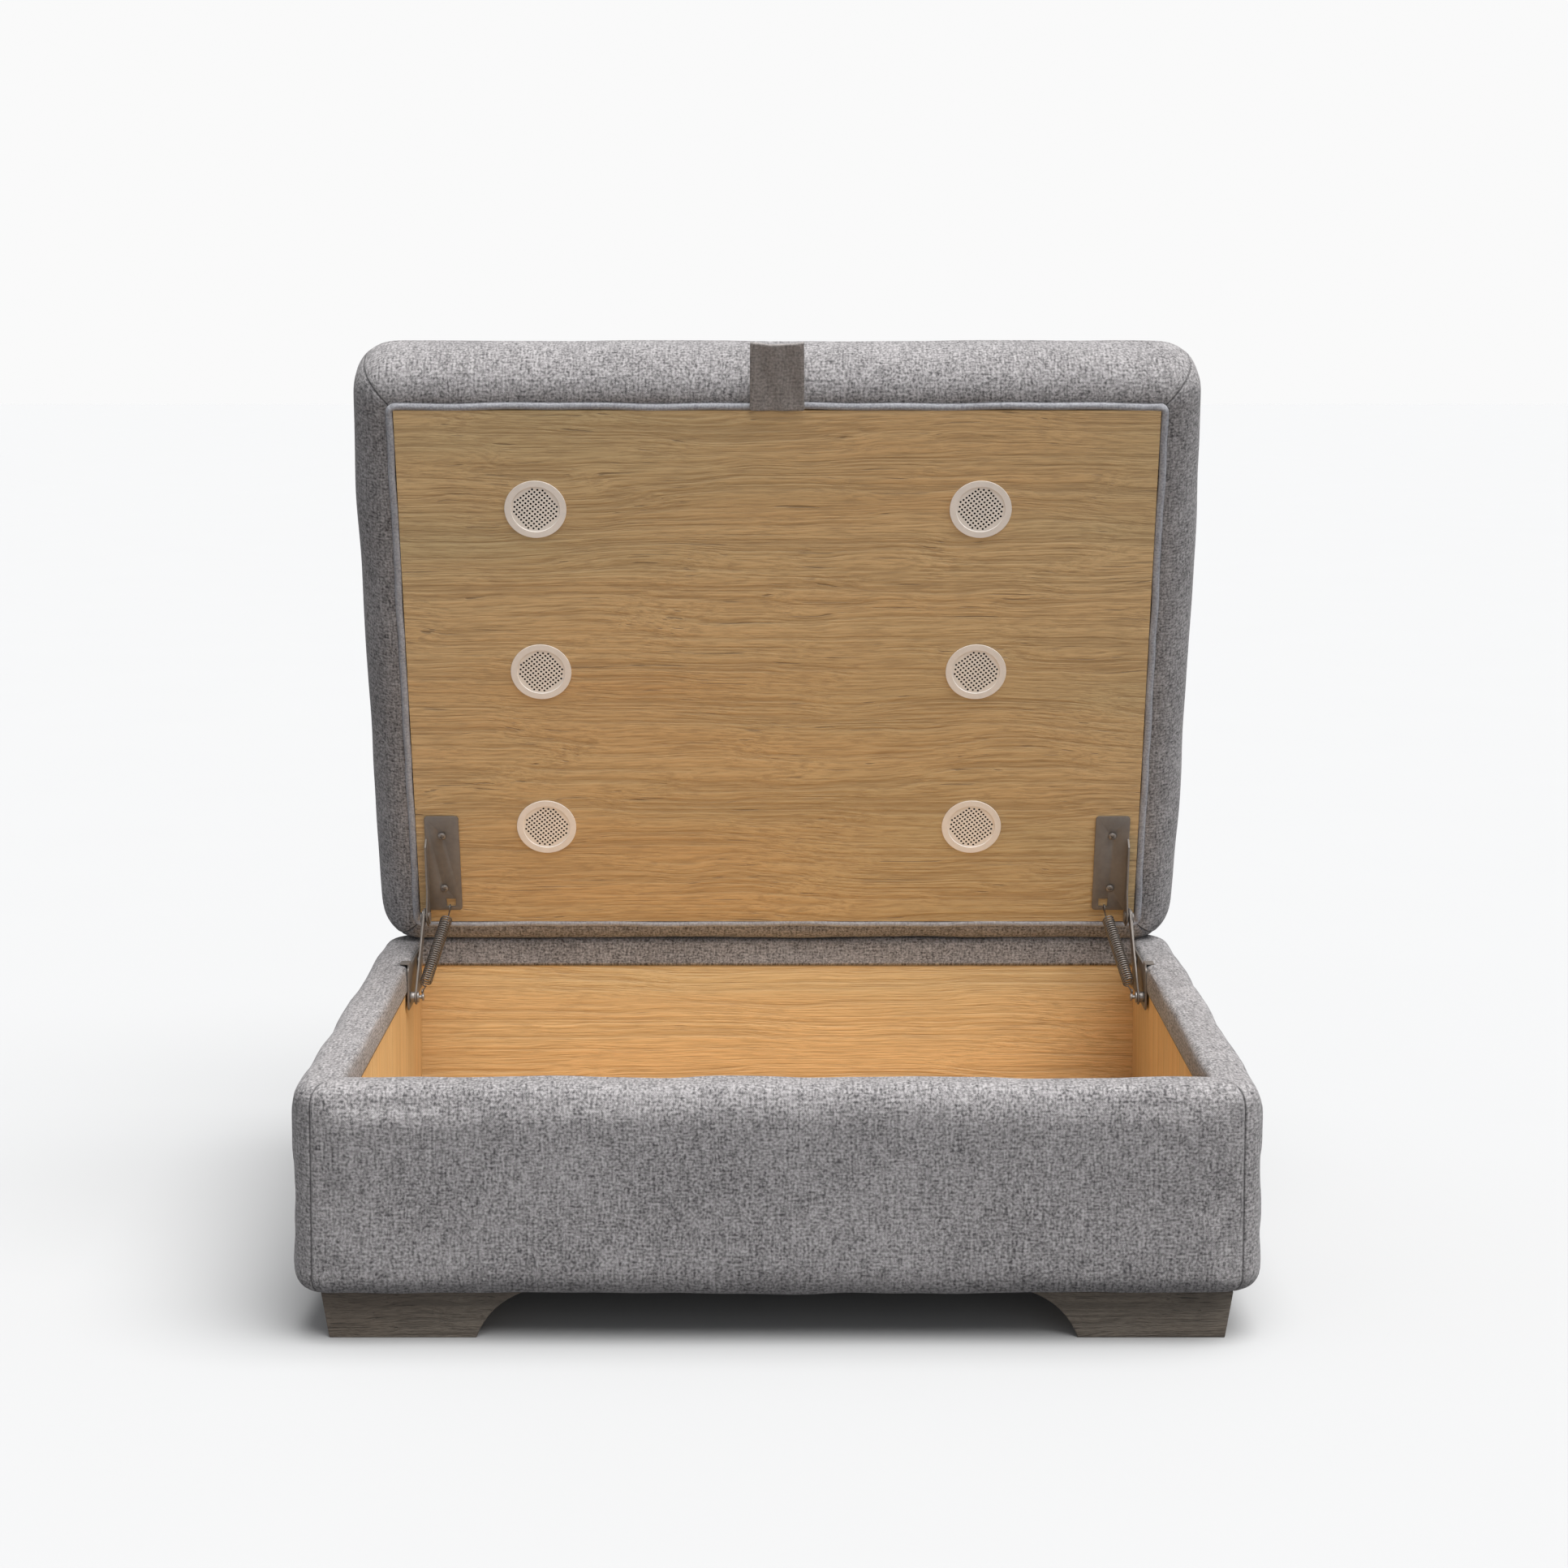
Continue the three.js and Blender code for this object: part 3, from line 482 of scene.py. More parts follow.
for step in range(EDGE_STEPS + 1):
    angle = math.pi / 2 * step / EDGE_STEPS
    gap = EDGE_ROUND * (1 - math.sin(angle))
    height = rail_top - EDGE_ROUND * (1 - math.cos(angle))
    hoop(fold_x + gap, fold_low - gap, fold_high + gap, INNER_ROUND + gap, height)
hoop(fold_x, fold_low, fold_high, INNER_ROUND, rail_top - FOLD_DROP)
LEVEL_DROP = 0.1
hoop(wall_x, wall_low, wall_high, INNER_ROUND, rail_top - FOLD_DROP, drop=LEVEL_DROP)
hoop(wall_x, wall_low, wall_high, INNER_ROUND, panel_top)
skin = (wall_x + PANEL_THICK, wall_low - PANEL_THICK, wall_high + PANEL_THICK, INNER_ROUND)
hoop(*skin, panel_top, drop=-LEVEL_DROP)
hoop(*skin, cover_bottom)
FOLD_HOOPS = 5
HOOPS_IN_COVER = HEM_STEPS + ROUND_STEPS + EDGE_STEPS + 3 + FOLD_HOOPS
join_hoops(HOOPS_IN_COVER - 1)
CLOTH_STEP = 0.012
cut_long(0, SIDE_LENGTH, int(2 * fold_x / CLOTH_STEP))
cut_long(1, SIDE_LENGTH, int((fold_high - fold_low) / CLOTH_STEP))


def outwards_of(point):
    """How far a point lies outside the line where the cover folds down into the box."""
    return max(abs(point.x) - fold_x, fold_low - point.y, point.y - fold_high)


SKIRT_OUT = 0.035
SKIRT_LENGTH = 0.12
SKIRT_CUTS = 14
cut_long(2, SKIRT_LENGTH, SKIRT_CUTS, lambda e: outwards_of(middle(e)) > SKIRT_OUT)


def across_rail(edge):
    """True for an edge across the flat of a rail's top."""
    first, second = (v.co for v in edge.verts)
    across = abs(outwards_of(first) - outwards_of(second)) > 0.008
    return across and min(first.z, second.z) > rail_top - 1e-4


choose("EDGE", across_rail)
bpy.ops.mesh.subdivide(number_cuts=1)
leave_edit(cover)


def cover_is_loose(point):
    """The part of the cover that fills out: all but the hem, the inside and the fold."""
    outwards = outwards_of(point)
    return outwards > 0.004 and point.z > cover_bottom + 0.004 and not (
        outwards < 0.03 and point.z < rail_top - 0.011
    )


COVER_SWELL = 0.0055
PRESSURE = 4
swell(cover, cover_is_loose, PRESSURE, COVER_SWELL)
ripple(cover, 0.11, 0.0065, lambda p: p.z > rail_top - 0.02 or p.z < cover_bottom + 0.01)
ripple(cover, 0.2, 0.004, cover_is_loose)

SEAM_INSET = 0.0165
SEAM_WIDTH = 0.0011
SEAM_DEPTH = 0.0022
bpy.ops.object.mode_set(mode="EDIT")
for side in (-1, 1):
    for end_y, inner_y in ((outer_low, fold_low), (outer_high, fold_high)):
        seam_top = Vector((side * (outer_x - SEAM_INSET), end_y, rail_top))
        inner = Vector((side * fold_x, inner_y, rail_top))
        across = (inner - seam_top).cross(Vector((0, 0, 1))).normalized()
        outwards = 1 if end_y > inner_y else -1

        def at_corner(face):
            place = face.calc_center_median()
            beyond = (place.y - inner_y) * outwards
            return abs(place.x - inner.x) < 0.07 and place.x * side > 0 and beyond > -0.004 and (
                face.normal.z > 0.3 or beyond > 0.03
            )

        groove(at_corner, tuple(inner), tuple(across), SEAM_WIDTH, SEAM_DEPTH)
leave_edit(cover)
weave_map(cover)
apply_modifier(cover, "SUBSURF", levels=1, render_levels=1)
put_on(cover, linen)
bpy.ops.object.shade_smooth()
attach(cover, "base")
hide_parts(*PAD_NAMES)

# ---------------------------------------------------------------- lid cushion
# The lid's foam and its fabric cover: a border that rolls round from the board's edge, sewn to the
# seat panel by a seam all round, with a seam out from each corner of the board.
LID_LEAN = math.radians(19.56)
BOARD_THICK = 0.012
board_low, board_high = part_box("lid_board")
lid_turn = math.pi / 2 + LID_LEAN
lid_origin = Vector((0, board_high.y - BOARD_THICK * math.cos(LID_LEAN), board_low.z))
lid_place = Matrix.Translation(lid_origin) @ Matrix.Rotation(lid_turn, 4, "X")
lid_back = lid_place.inverted()


def lid_box(name):
    """A node's lowest and highest corners in the lid's own axes: across, along and out of the board."""
    points = [lid_back @ v.co for v in nodes[name].data.vertices]
    return tuple(Vector(f(p[i] for p in points) for i in range(3)) for f in (min, max))


def place_on_lid(piece):
    """Turns a finished piece from the lid's own axes to where the open lid stands."""
    piece.matrix_world = lid_place
    bpy.ops.object.select_all(action="DESELECT")
    bpy.context.view_layer.objects.active = piece
    piece.select_set(True)
    bpy.ops.object.transform_apply(location=True, rotation=True, scale=True)


board_box = lid_box("lid_board")
lid_low, lid_high = lid_box("lid_cover")
CUSHION_START = 0.002
BARE_ROUND = 0.056
SEAT_ROUND = 0.040
LID_CORNER = 0.044
SEAT_SEAM = 0.086
cushion_x = lid_high.x - CUSHION_START
cushion_low = lid_low.y + CUSHION_START
cushion_high = lid_high.y - CUSHION_START
board_x, board_end = board_box[1].x, board_box[1].y
cushion_back = lid_low.z + 0.006
mouth = 0.004


def border_hoop(share, depth, joined=True):
    """A hoop of the border: share 0 is at the board's edge and 1 is the full width."""
    reach = 1 - share
    hoop(
        cushion_x - (cushion_x - board_x - mouth) * reach,
        cushion_low + (-mouth - cushion_low) * reach,
        cushion_high - (cushion_high - board_end - mouth) * reach,
        LID_CORNER - (LID_CORNER - 0.005) * reach,
        depth,
        joined,
    )


cushion = new_piece("lid_cushion")
border_hoop(0, -BOARD_THICK - 0.0006, False)
BORDER_STEPS = 7
for step in range(BORDER_STEPS + 1):
    angle = math.pi / 2 * step / BORDER_STEPS
    border_hoop(math.sin(angle) ** 0.9, -0.001 - (BARE_ROUND - 0.001) * (1 - math.cos(angle)))
border_hoop(1, -SEAT_SEAM + 0.012)
border_hoop(1, -SEAT_SEAM + 0.0016)
hoop(cushion_x - 0.0026, cushion_low + 0.0026, cushion_high - 0.0026, LID_CORNER, -SEAT_SEAM)
SEAT_STEPS = 6
for step in range(SEAT_STEPS + 1):
    angle = math.pi / 2 * step / SEAT_STEPS
    inset = 0.0008 + SEAT_ROUND * (1 - math.cos(angle))
    drop = (-cushion_back - SEAT_SEAM - 0.0016) * math.sin(angle)
    hoop(
        cushion_x - inset, cushion_low + inset, cushion_high - inset,
        LID_CORNER, -SEAT_SEAM - 0.0016 - drop,
    )
columns = int(2 * board_x / CLOTH_STEP)
rows = int(board_end / CLOTH_STEP)
cut_long(0, SIDE_LENGTH, columns)
cut_long(1, SIDE_LENGTH, rows)
choose("EDGE", lambda e: e.is_boundary and middle(e).z < cushion_back + 0.004)
bpy.ops.mesh.fill_grid(span=columns + 1 + HOOP_STEPS)
choose("EDGE", lambda e: e.is_boundary)
bpy.ops.mesh.fill_grid(span=columns + 1 + HOOP_STEPS)
leave_edit(cushion)


def cushion_is_loose(point):
    """The border and the seat fill out; what lies under the board and the seam do not."""
    inside = max(abs(point.x) - board_x, -point.y, point.y - board_end) < 0.006
    return not (inside and point.z > -0.02) and abs(point.z + SEAT_SEAM) > 0.001


CUSHION_SWELL = 0.008
swell(cushion, cushion_is_loose, PRESSURE, CUSHION_SWELL)
ripple(cushion, 0.13, 0.005, cushion_is_loose)

bpy.ops.object.mode_set(mode="EDIT")
for side in (-1, 1):
    for edge_y, outwards in ((0, -1), (board_end, 1)):
        corner = Vector((side * board_x, edge_y, 0))
        across = Vector((side, -outwards, 0)).normalized()

        def at_corner(face):
            place = face.calc_center_median()
            return place.z > -SEAT_SEAM + 0.002 and place.x * side > board_x - 0.02 and (
                (place.y - edge_y) * outwards > -0.02
            ) and (place.x * side > board_x + mouth or (place.y - edge_y) * outwards > mouth)

        groove(at_corner, tuple(corner), tuple(across), SEAM_WIDTH, SEAM_DEPTH)
leave_edit(cushion)
weave_map(cushion)
apply_modifier(cushion, "SUBSURF", levels=1, render_levels=1)
put_on(cushion, linen)
bpy.ops.object.shade_smooth()
place_on_lid(cushion)
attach(cushion, "lid")
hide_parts("lid_cover", "lid_foam")

# ---------------------------------------------------------------- lid piping
# A strip of bluish grey cloth, doubled over and stapled round the board's edge, that hides the raw
# edge of the cover. It puckers a little at each staple.
PIPING_HALF = 0.0044
PIPING_SIDES = 10
PUCKER_PITCH = 0.0155
piping_cloth = cloth_material(
    "piping_cloth", (0.46, 0.46, 0.485), (0.19, 0.19, 0.205), 0.0018, 0.9, 0.0003
)
piping_middle = PIPING_HALF - 0.0002
piping_level = (lid_box("lid_binding")[1].z - 0.001) - PIPING_HALF * 0.75
piping = new_piece("lid_piping")
for step in range(PIPING_SIDES):
    angle = 2 * math.pi * step / PIPING_SIDES
    out = piping_middle + PIPING_HALF * math.cos(angle)
    hoop(
        board_x + out, -out, board_end + out, max(0.0015, 0.003 + out),
        piping_level + PIPING_HALF * 0.95 * math.sin(angle), step > 0,
    )
join_hoops(PIPING_SIDES - 1)
PIPING_STEP = 0.0045
cut_long(0, SIDE_LENGTH, int(2 * board_x / PIPING_STEP))
cut_long(1, SIDE_LENGTH, int(board_end / PIPING_STEP))
leave_edit(piping, 80)
for vertex in piping.data.vertices:
    point = vertex.co
    along_side = abs(point.x) > board_x - 0.001
    travel = point.y if along_side else point.x
    pinch = 0.5 + 0.5 * math.cos(2 * math.pi * travel / PUCKER_PITCH + 1.3 * math.sin(31 * travel))
    drift = 0.0007 * math.sin(23 * travel + 1.1) + 0.0005 * math.sin(57 * travel)
    lift = point.z - piping_level
    point.z -= max(lift, 0) * 0.34 * pinch ** 3
    if along_side:
        point.x += math.copysign(drift, point.x)
    else:
        point.y += drift
weave_map(piping)
apply_modifier(piping, "SUBSURF", levels=1, render_levels=1)
put_on(piping, piping_cloth)
bpy.ops.object.shade_smooth()
place_on_lid(piping)
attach(piping, "lid")
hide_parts("lid_binding")

# ---------------------------------------------------------------- pull tab
# A strip of taupe cloth folded into a flat loop and sewn in behind the piping at the lid's front.
tab_cloth = cloth_material(
    "taupe_cloth", (0.36, 0.33, 0.312), (0.13, 0.119, 0.113), 0.0020, 1.0, 0.0004
)
tab_low, tab_high = lid_box("pull_tab")
TAB_SHEET = 0.0011
TAB_ROWS = 20
TAB_COLUMNS = 14
tab_width = tab_high.x - tab_low.x
tab_length = tab_high.y - tab_low.y - 0.002
TAB_BEND = 0.0016
tab = new_piece("pull_tab_loop")
bpy.ops.mesh.primitive_plane_add(size=1, location=(0, tab_low.y, 0))
bpy.ops.transform.resize(value=(tab_width, 0, 1), center_override=(0, tab_low.y, 0))
bpy.ops.mesh.select_all(action="SELECT")
bpy.ops.mesh.remove_doubles(threshold=1e-6)
bpy.ops.mesh.select_all(action="SELECT")
bpy.ops.mesh.delete(type="ONLY_FACE")
bpy.ops.mesh.select_all(action="SELECT")
tab_path = [
    Vector((0, tab_low.y + tab_length * step / TAB_ROWS, tab_high.z))
    for step in range(1, TAB_ROWS + 1)
]
for step in range(1, 6):
    angle = math.pi * step / 6
    tab_path.append(Vector((0, tab_path[TAB_ROWS - 1].y + TAB_BEND * math.sin(angle),
                            tab_high.z - TAB_BEND * (1 - math.cos(angle)))))
tab_path += [
    Vector((0, tab_low.y + tab_length * step / TAB_ROWS, tab_high.z - 2 * TAB_BEND))
    for step in range(TAB_ROWS, 1, -1)
]
at = Vector((0, tab_low.y, tab_high.z))
bpy.ops.transform.translate(value=(0, 0, tab_high.z))
for point in tab_path:
    bpy.ops.mesh.extrude_edges_move(TRANSFORM_OT_translate={"value": tuple(point - at)})
    at = point
cut_long(0, 0.05, TAB_COLUMNS)
leave_edit(tab, 80)
for vertex in tab.data.vertices:
    share = (vertex.co.y - tab_low.y) / tab_length
    side = vertex.co.x / (tab_width / 2)
    vertex.co.y -= 0.0028 * share ** 3 * (1 - side * side)
    vertex.co.x *= 1 - 0.02 * share ** 2
    vertex.co.z += 0.004 * share ** 2 + 0.0008 * math.sin(7 * side + 3 * share)
weave_map(tab)
apply_modifier(tab, "SOLIDIFY", thickness=TAB_SHEET, offset=0)
apply_modifier(tab, "SUBSURF", levels=1, render_levels=1)
put_on(tab, tab_cloth)
bpy.ops.object.shade_smooth()
place_on_lid(tab)
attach(tab, "lid")
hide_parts("pull_tab")


# ---------------------------------------------------------------- oak boards
# The lid's board, the four panels of the box and its floor: oiled oak boards with a low, wavy grain
# and short dark checks. They are glued and screwed from behind, so no fixing shows.
def oak(name, pale, warm, grey, dark, stretch, turn=(0, 0, 0), checks=1.0, gloss=0.45, fine=1.0):
    """Oak whose grain runs where stretch is smallest."""
    made, shader, place = new_material(name)
    board = place.node("Mapping", {}, {"Vector": place, "Rotation": turn})
    grain = scaled(board, *stretch)
    bend = noise(scaled(grain, 1, 0.28, 0.28), 1.1, 3)
    shift = scaled(bend, 1.6, 1.6, 1.6)
    warped = grain.node("VectorMath", {"operation": "ADD"}, {0: grain, 1: shift})
    bands = noise(scaled(warped, 0.35, 1, 1), 1.0, 4, 0.6)
    rings = noise(scaled(warped, 0.35, 4.6, 4.6), 1.4, 3, 0.6)
    fibre = noise(scaled(warped, 14, 15, 15), 1.5, 3, 0.65)
    check = noise(scaled(warped, 2.6, 11, 11), 1.7, 2, 0.45)
    clouds = noise(scaled(grain, 0.5, 0.22, 0.22), 1.5, 2)
    line = ramp(rings, (0.36, 0), (0.5, 0.7), (0.62, 1))
    colour = tint(ramp(bands, (0.32, 0), (0.66, 1)), warm, pale)
    colour = tint(ramp(clouds, (0.42, 0), (0.68, 0.7)), colour, grey)
    colour = tint(line * 0.5 + 0.5, dark, colour)
    colour = tint(ramp(fibre, (0.36, 1 - 0.55 * fine), (0.56, 1)), dark, colour)
    spots = ramp(check, (0.68, 0), (0.73, 1)) * (0.7 * checks)
    colour = tint(spots, colour, tuple(c * 0.28 for c in dark))
    paint(shader, "Base Color", colour)
    paint(shader, "Roughness", gloss + 0.15 * fibre)
    bump(shader, line * 0.7 + fibre * 0.6 - spots * 1.2, 0.0016, 0.7)
    return made


lid_oak = oak(
    "lid_oak", (0.64, 0.44, 0.22), (0.60, 0.37, 0.165), (0.46, 0.375, 0.205), (0.32, 0.205, 0.095),
    (1.6, 17, 17), (-lid_turn, 0, 0), 0.8,
)
wall_oak = oak(
    "wall_oak", (0.74, 0.48, 0.22), (0.72, 0.43, 0.18), (0.60, 0.44, 0.22), (0.42, 0.26, 0.11),
    (1.4, 24, 24), (0, 0, 0), 0.3,
)
side_oak = oak(
    "side_oak", (0.74, 0.48, 0.22), (0.70, 0.42, 0.17), (0.60, 0.44, 0.22), (0.42, 0.26, 0.11),
    (1.4, 24, 24), (0, math.pi / 2, 0), 0.3, 0.45, 0.6,
)
put_on(nodes["lid_board"], lid_oak)
for name in ("front_panel", "back_panel", "floor_panel"):
    put_on(nodes[name], wall_oak)
for name in ("left_panel", "right_panel"):
    put_on(nodes[name], side_oak)


# ---------------------------------------------------------------- air vents
# Six pressed metal vents in the lid's board: a flat rim and a sunk disc punched with small holes, with
# painted shade in the holes and under the disc.
def plain_metal(name, colour, metallic, roughness, wear=0.12, depth=0.0001):
    """Coated or plated sheet metal with faint handling marks."""
    made, shader, place = new_material(name)
    marks = noise(place, 160, 3)
    patches = noise(place, 24, 2)
    share = ramp(marks * 0.5 + patches * 0.5, (0.35, 0), (0.65, 1))
    paint(shader, "Base Color", tint(share, tuple(c * (1 - wear) for c in colour),
                                     tuple(min(1, c * (1 + wear)) for c in colour)))
    shader.inputs["Metallic"].default_value = metallic
    paint(shader, "Roughness", roughness + 0.12 * marks)
    bump(shader, marks, depth, 0.3)
    return made


vent_metal = plain_metal("vent_metal", (0.80, 0.73, 0.66), 0.0, 0.38, 0.04)
vent_low, vent_high = lid_box("vent_left_1")
VENT_RADIUS = (vent_high.x - vent_low.x) / 2
VENT_RIM = 0.0075
VENT_DISH = 0.0012
VENT_SHEET = 0.0010
VENT_LIP = 0.0016
COLLAR_INSET = 0.0066
COLLAR_WALL = 0.0014
HOLE_PITCH = 0.0042
HOLE_RADIUS = 0.00125
GRID_TURN = math.radians(38)

vent = new_piece("vent_pattern")
rim_top = vent_high.z
bpy.ops.mesh.primitive_cylinder_add(
    vertices=64, radius=VENT_RADIUS, depth=VENT_LIP, location=(0, 0, rim_top - VENT_LIP / 2)
)
choose("FACE", lambda f: f.normal.z > 0.9)
bpy.ops.mesh.inset(thickness=VENT_RIM)
bpy.ops.mesh.extrude_region_move(TRANSFORM_OT_translate={"value": (0, 0, -VENT_DISH)})
choose("FACE", lambda f: f.normal.z < -0.9)
bpy.ops.mesh.inset(thickness=COLLAR_INSET)
collar = rim_top - VENT_LIP - vent_low.z
bpy.ops.mesh.extrude_region_move(TRANSFORM_OT_translate={"value": (0, 0, -collar)})
bpy.ops.mesh.inset(thickness=COLLAR_WALL)
bpy.ops.mesh.extrude_region_move(
    TRANSFORM_OT_translate={"value": (0, 0, rim_top - VENT_DISH - VENT_SHEET - vent_low.z)}
)
leave_edit(vent, 30)
apply_modifier(vent, "BEVEL", width=0.0004, segments=2, limit_method="ANGLE", angle_limit=math.radians(40))
punch = new_piece("vent_punch")
grid_reach = int((VENT_RADIUS - VENT_RIM) / HOLE_PITCH) + 1
for row in range(-grid_reach, grid_reach + 1):
    for column in range(-grid_reach, grid_reach + 1):
        spot = Matrix.Rotation(GRID_TURN, 2) @ Vector((row * HOLE_PITCH, column * HOLE_PITCH))
        if spot.length > VENT_RADIUS - VENT_RIM - 0.0026:
            continue
        bpy.ops.mesh.primitive_cylinder_add(
            vertices=10, radius=HOLE_RADIUS, depth=0.004, location=(*spot, rim_top - VENT_DISH)
        )
bpy.ops.object.mode_set(mode="OBJECT")
apply_modifier(vent, "BOOLEAN", object=punch, operation="DIFFERENCE", solver="EXACT")
bpy.data.objects.remove(punch)
put_on(vent, vent_metal)
# Painted shade: a near-black colour that stands in for the dark inside of the holes.
hole_shade, hole_shade_shader, hole_shade_place = new_material("painted_hole_shade")
HOLE_SHADE_TONES = ((0.001, 0.001, 0.001), (0.004, 0.004, 0.004))
paint(hole_shade_shader, "Base Color", tint(noise(hole_shade_place, 1500), *HOLE_SHADE_TONES))
hole_shade_shader.inputs["Roughness"].default_value = 1
hole_shade_shader.inputs["Specular IOR Level"].default_value = 0
vent.data.materials.append(hole_shade)
# The walls of the holes, the underside of the disc and the inside of the collar take the painted shade.
disc_face = rim_top - VENT_DISH
for face in vent.data.polygons:
    reach = math.hypot(face.center.x, face.center.y)
    under = face.center.z < disc_face - VENT_SHEET * 0.3
    if under and reach < VENT_RADIUS - 0.0078:
        face.material_index = 1
bpy.ops.object.mode_set(mode="OBJECT")
bpy.ops.object.select_all(action="DESELECT")
# A near-black disc just under the holes: painted shade seen through them.
bpy.ops.mesh.primitive_cylinder_add(
    vertices=32, radius=VENT_RADIUS - 0.0083, depth=0.0006,
    location=(0, 0, disc_face - VENT_SHEET - 0.0008),
)
shade_backing = bpy.context.object
bpy.ops.object.transform_apply(location=True, rotation=False, scale=False)
put_on(shade_backing, hole_shade)
shade_backing.select_set(True)
vent.select_set(True)
bpy.context.view_layer.objects.active = vent
bpy.ops.object.join()
for side in ("left", "right"):
    for row in (1, 2, 3):
        node = f"vent_{side}_{row}"
        low, high = lid_box(node)
        copy = bpy.data.objects.new(f"air_{node}", vent.data.copy())
        bpy.context.scene.collection.objects.link(copy)
        copy.data.transform(Matrix.Translation(((low.x + high.x) / 2, (low.y + high.y) / 2, 0)))
        place_on_lid(copy)
        bpy.ops.object.shade_smooth_by_angle(angle=math.radians(30))
        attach(copy, "lid")
        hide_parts(node)
bpy.data.objects.remove(vent)


# ---------------------------------------------------------------- feet
# Four blocks of weathered wood under the corners, bolted up into glued corner blocks.
def eased_copy(node, name, width, segments=2, angle=30):
    """A copy of a CAD node with its sharp edges eased."""
    source = nodes[node]
    copy = bpy.data.objects.new(name, source.data.copy())
    bpy.context.scene.collection.objects.link(copy)
    bpy.ops.object.select_all(action="DESELECT")
    bpy.context.view_layer.objects.active = copy
    copy.select_set(True)
    bpy.ops.object.mode_set(mode="EDIT")
    bpy.ops.mesh.select_all(action="SELECT")
    bpy.ops.mesh.remove_doubles(threshold=1e-6)
    bpy.ops.mesh.dissolve_limited(angle_limit=math.radians(2))
    bpy.ops.object.mode_set(mode="OBJECT")
    apply_modifier(copy, "BEVEL", width=width, segments=segments, limit_method="ANGLE",
                   angle_limit=math.radians(angle), harden_normals=False)
    bpy.ops.object.shade_smooth_by_angle(angle=math.radians(35))
    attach(copy, source["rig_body"])
    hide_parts(node)
    return copy


foot_wood = oak(
    "foot_wood", (0.155, 0.125, 0.095), (0.12, 0.093, 0.07), (0.17, 0.145, 0.115), (0.045, 0.036, 0.028),
    (5, 40, 40), (0, 0, 0), 1.2, 0.6,
)
batten_wood = oak(
    "batten_wood", (0.62, 0.47, 0.28), (0.60, 0.42, 0.24), (0.52, 0.42, 0.27), (0.38, 0.27, 0.15),
    (3, 30, 30), (0, math.pi / 2, 0), 0.5, 0.6,
)
for end in ("front", "back"):
    for side in ("left", "right"):
        foot = eased_copy(f"{end}_{side}_foot", f"{end}_{side}_block_foot", 0.0022, 3)
        put_on(foot, foot_wood)
        put_on(nodes[f"{end}_{side}_block"], batten_wood)

# ---------------------------------------------------------------- dust cover
# A sheet of black non-woven lining stapled under the box.
lining, lining_shader, lining_place = new_material("black_lining")
lint = noise(lining_place, 900, 3)
paint(lining_shader, "Base Color", tint(lint, (0.012, 0.012, 0.012), (0.045, 0.045, 0.045)))
lining_shader.inputs["Roughness"].default_value = 0.95
bump(lining_shader, lint, 0.0004, 0.5)
put_on(nodes["dust_cover"], lining)

# ---------------------------------------------------------------- spring hinges
# Pressed steel plates and flat arms on rivets, coated in taupe paint. The base plate is screwed to
# the side panel and the lid plate to the board.
hinge_paint = plain_metal("taupe_coat", (0.165, 0.146, 0.130), 0.30, 0.46, 0.12)
rivet_steel = plain_metal("rivet_steel", (0.27, 0.25, 0.235), 0.7, 0.38, 0.10)
spring_steel = plain_metal("spring_steel", (0.19, 0.172, 0.156), 0.7, 0.38, 0.12)
HINGE_EASE = 0.0004
for side in ("left", "right"):
    for part in ("base_plate", "lid_plate", "front_arm", "rear_arm"):
        strap = eased_copy(f"{side}_{part}", f"{side}_{part}_steel", HINGE_EASE)
        put_on(strap, hinge_paint)
    for part in ("stud_rivet", "rear_pivot_rivet", "flange_rivet", "rear_arm_rivet"):
        rivet = eased_copy(f"{side}_{part}", f"{side}_{part}_steel", HINGE_EASE)
        put_on(rivet, rivet_steel)

# ---------------------------------------------------------------- screws
# Pan-head wood screws with a cross recess: two in each plate. The feet have plain bolts.
HEAD_RADIUS = 0.0046
HEAD_HEIGHT = 0.0024
SLOT_LENGTH = 0.0052
SLOT_WIDTH = 0.0011
screw = new_piece("screw_pattern")
bpy.ops.mesh.primitive_cylinder_add(
    vertices=32, radius=HEAD_RADIUS, depth=HEAD_HEIGHT * 0.5, location=(0, 0, HEAD_HEIGHT * 0.25)
)
for share, rise in ((0.86, 0.27), (0.62, 0.16), (0.3, 0.07)):
    choose("FACE", lambda f: f.normal.z > 0.95 and f.calc_area() > HEAD_RADIUS ** 2 * 0.1)
    bpy.ops.mesh.extrude_region_move(TRANSFORM_OT_translate={"value": (0, 0, HEAD_HEIGHT * rise)})
    bpy.ops.transform.resize(value=(share, share, 1))
leave_edit(screw, 60)
cross = new_piece("screw_cross")
for turn in (0, math.pi / 2):
    bpy.ops.mesh.select_all(action="DESELECT")
    bpy.ops.mesh.primitive_cube_add(size=1, location=(0, 0, HEAD_HEIGHT))
    long_x, long_y = (SLOT_LENGTH, SLOT_WIDTH) if turn else (SLOT_WIDTH, SLOT_LENGTH)
    bpy.ops.transform.resize(value=(long_x, long_y, HEAD_HEIGHT * 1.3),
                             center_override=(0, 0, HEAD_HEIGHT))
bpy.ops.object.mode_set(mode="OBJECT")
apply_modifier(screw, "BOOLEAN", object=cross, operation="DIFFERENCE", solver="EXACT", use_self=True)
bpy.data.objects.remove(cross)
screw_steel = plain_metal("screw_steel", (0.21, 0.188, 0.17), 0.55, 0.42, 0.12)
put_on(screw, screw_steel)


def add_screw(name, node, place, body):
    """A copy of the screw's head in place of a CAD screw."""
    copy = bpy.data.objects.new(name, screw.data.copy())
    bpy.context.scene.collection.objects.link(copy)
    copy.data.transform(place)
    bpy.ops.object.select_all(action="DESELECT")
    bpy.context.view_layer.objects.active = copy
    copy.select_set(True)
    bpy.ops.object.shade_smooth_by_angle(angle=math.radians(40))
    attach(copy, body)
    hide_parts(node)


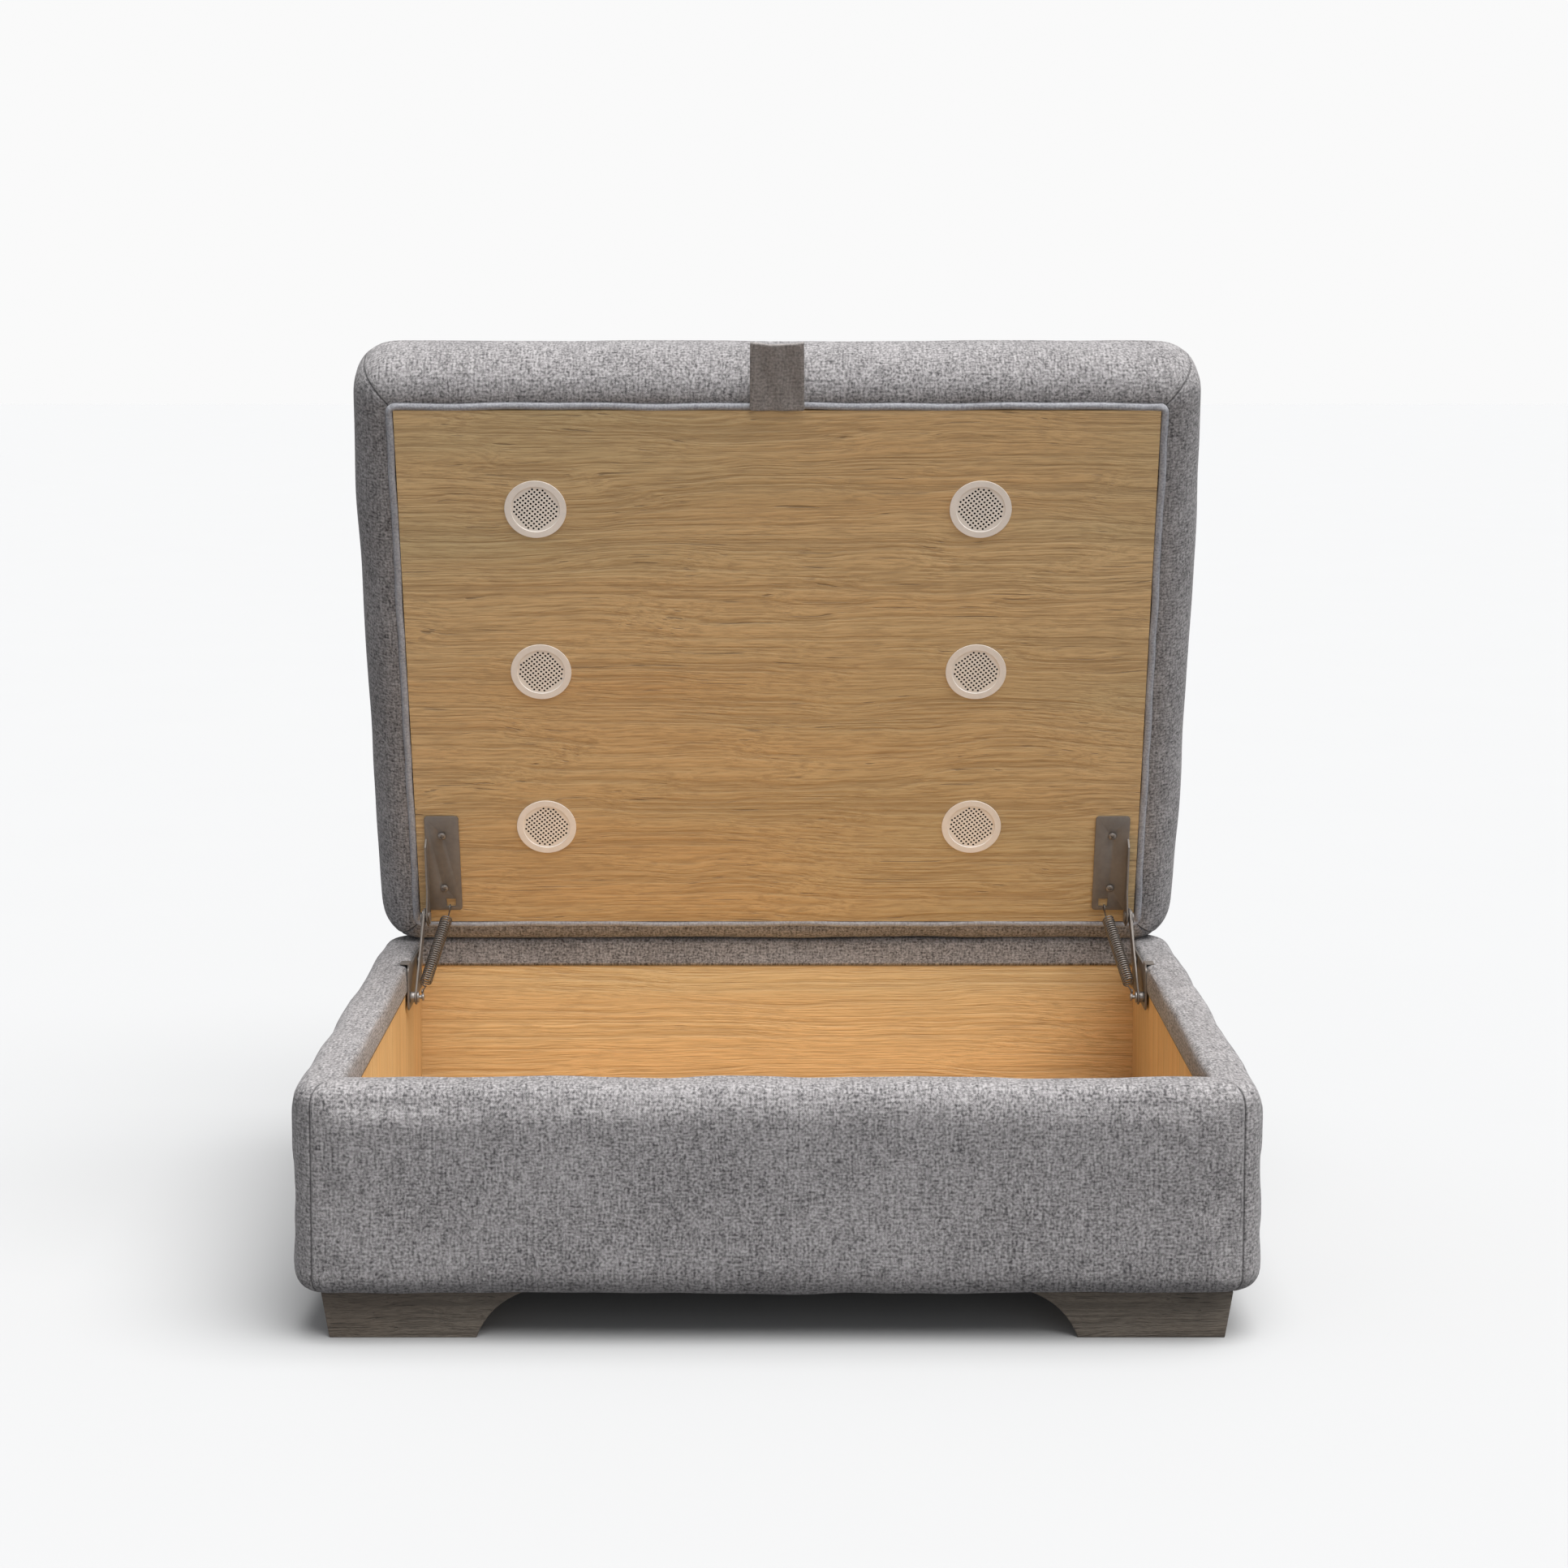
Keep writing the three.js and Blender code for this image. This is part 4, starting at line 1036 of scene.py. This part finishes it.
for side, sign in (("left", -1), ("right", 1)):
    for count in (1, 2):
        node = f"{side}_lid_screw_{count}"
        low, high = lid_box(node)
        spin = Matrix.Rotation(0.5 + count * sign, 4, "Z")
        seat = Vector(((low.x + high.x) / 2, (low.y + high.y) / 2, high.z - HEAD_HEIGHT * 0.75))
        add_screw(f"{node}_head", node, lid_place @ Matrix.Translation(seat) @ spin, "lid")
        node = f"{side}_base_screw_{count}"
        low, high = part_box(node)
        inwards = low.x if sign > 0 else high.x
        seat = Vector((inwards + sign * HEAD_HEIGHT * 0.75, (low.y + high.y) / 2, (low.z + high.z) / 2))
        facing = Matrix.Rotation(-sign * math.pi / 2, 4, "Y")
        add_screw(f"{node}_head", node, Matrix.Translation(seat) @ facing @ spin, "base")
bpy.data.objects.remove(screw)
for end in ("front", "back"):
    for side in ("left", "right"):
        put_on(nodes[f"{end}_{side}_foot_bolt"], screw_steel)

# ---------------------------------------------------------------- springs
# A close-wound tension spring on each hinge, hooked over the stud on the base plate at one end and
# through the lid plate's flange at the other. It shortens a little as the lid closes.
WIRE_RADIUS = 0.0009
COIL_RADIUS = 0.0064
COIL_TURNS = 30
TURN_POINTS = 12
COIL_SHARE = (0.13, 0.85)
HOOK_STEPS = 16
HOOK_RADIUS = 0.0035
for side, sign in (("left", -1), ("right", 1)):
    points = [v.co for v in nodes[f"{side}_spring"].data.vertices]
    low_end = sum((p for p in sorted(points, key=lambda p: p.z)[:6]), Vector()) / 6
    high_end = sum((p for p in sorted(points, key=lambda p: -p.z)[:6]), Vector()) / 6
    along = (high_end - low_end).normalized()
    across = along.cross(Vector((1, 0, 0))).normalized()
    beside = along.cross(across)
    span = (high_end - low_end).length
    line = bpy.data.curves.new(f"{side}_coil_spring", "CURVE")
    line.dimensions = "3D"
    line.bevel_depth = WIRE_RADIUS
    line.bevel_resolution = 1
    line.use_fill_caps = True
    path = []
    for step in range(HOOK_STEPS - 1):
        turn = 2 * math.pi * step / HOOK_STEPS
        bow = along * (HOOK_RADIUS - HOOK_RADIUS * math.cos(turn)) + across * HOOK_RADIUS * math.sin(turn)
        path.append(low_end + bow)
    coil_low, coil_high = (span * share for share in COIL_SHARE)
    for step in range(COIL_TURNS * TURN_POINTS + 1):
        turn = 2 * math.pi * step / TURN_POINTS
        rise = coil_low + (coil_high - coil_low) * step / (COIL_TURNS * TURN_POINTS)
        outwards = across * math.cos(turn) + beside * math.sin(turn)
        path.append(low_end + along * rise + outwards * COIL_RADIUS)
    for step in range(1, HOOK_STEPS):
        turn = 2 * math.pi * step / HOOK_STEPS
        bow = across * HOOK_RADIUS * math.sin(turn) - along * (HOOK_RADIUS - HOOK_RADIUS * math.cos(turn))
        path.append(high_end + bow)
    spline = line.splines.new("POLY")
    spline.points.add(len(path) - 1)
    for point, place in zip(spline.points, path):
        point.co = (*place, 1)
    spring = bpy.data.objects.new(f"{side}_coil_spring", line)
    bpy.context.scene.collection.objects.link(spring)
    bpy.ops.object.select_all(action="DESELECT")
    bpy.context.view_layer.objects.active = spring
    spring.select_set(True)
    bpy.ops.object.convert(target="MESH")
    spring = bpy.context.object
    put_on(spring, spring_steel)
    bpy.ops.object.shade_smooth()
    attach(spring, f"{side}_spring")
    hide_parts(f"{side}_spring")
    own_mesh(spring)
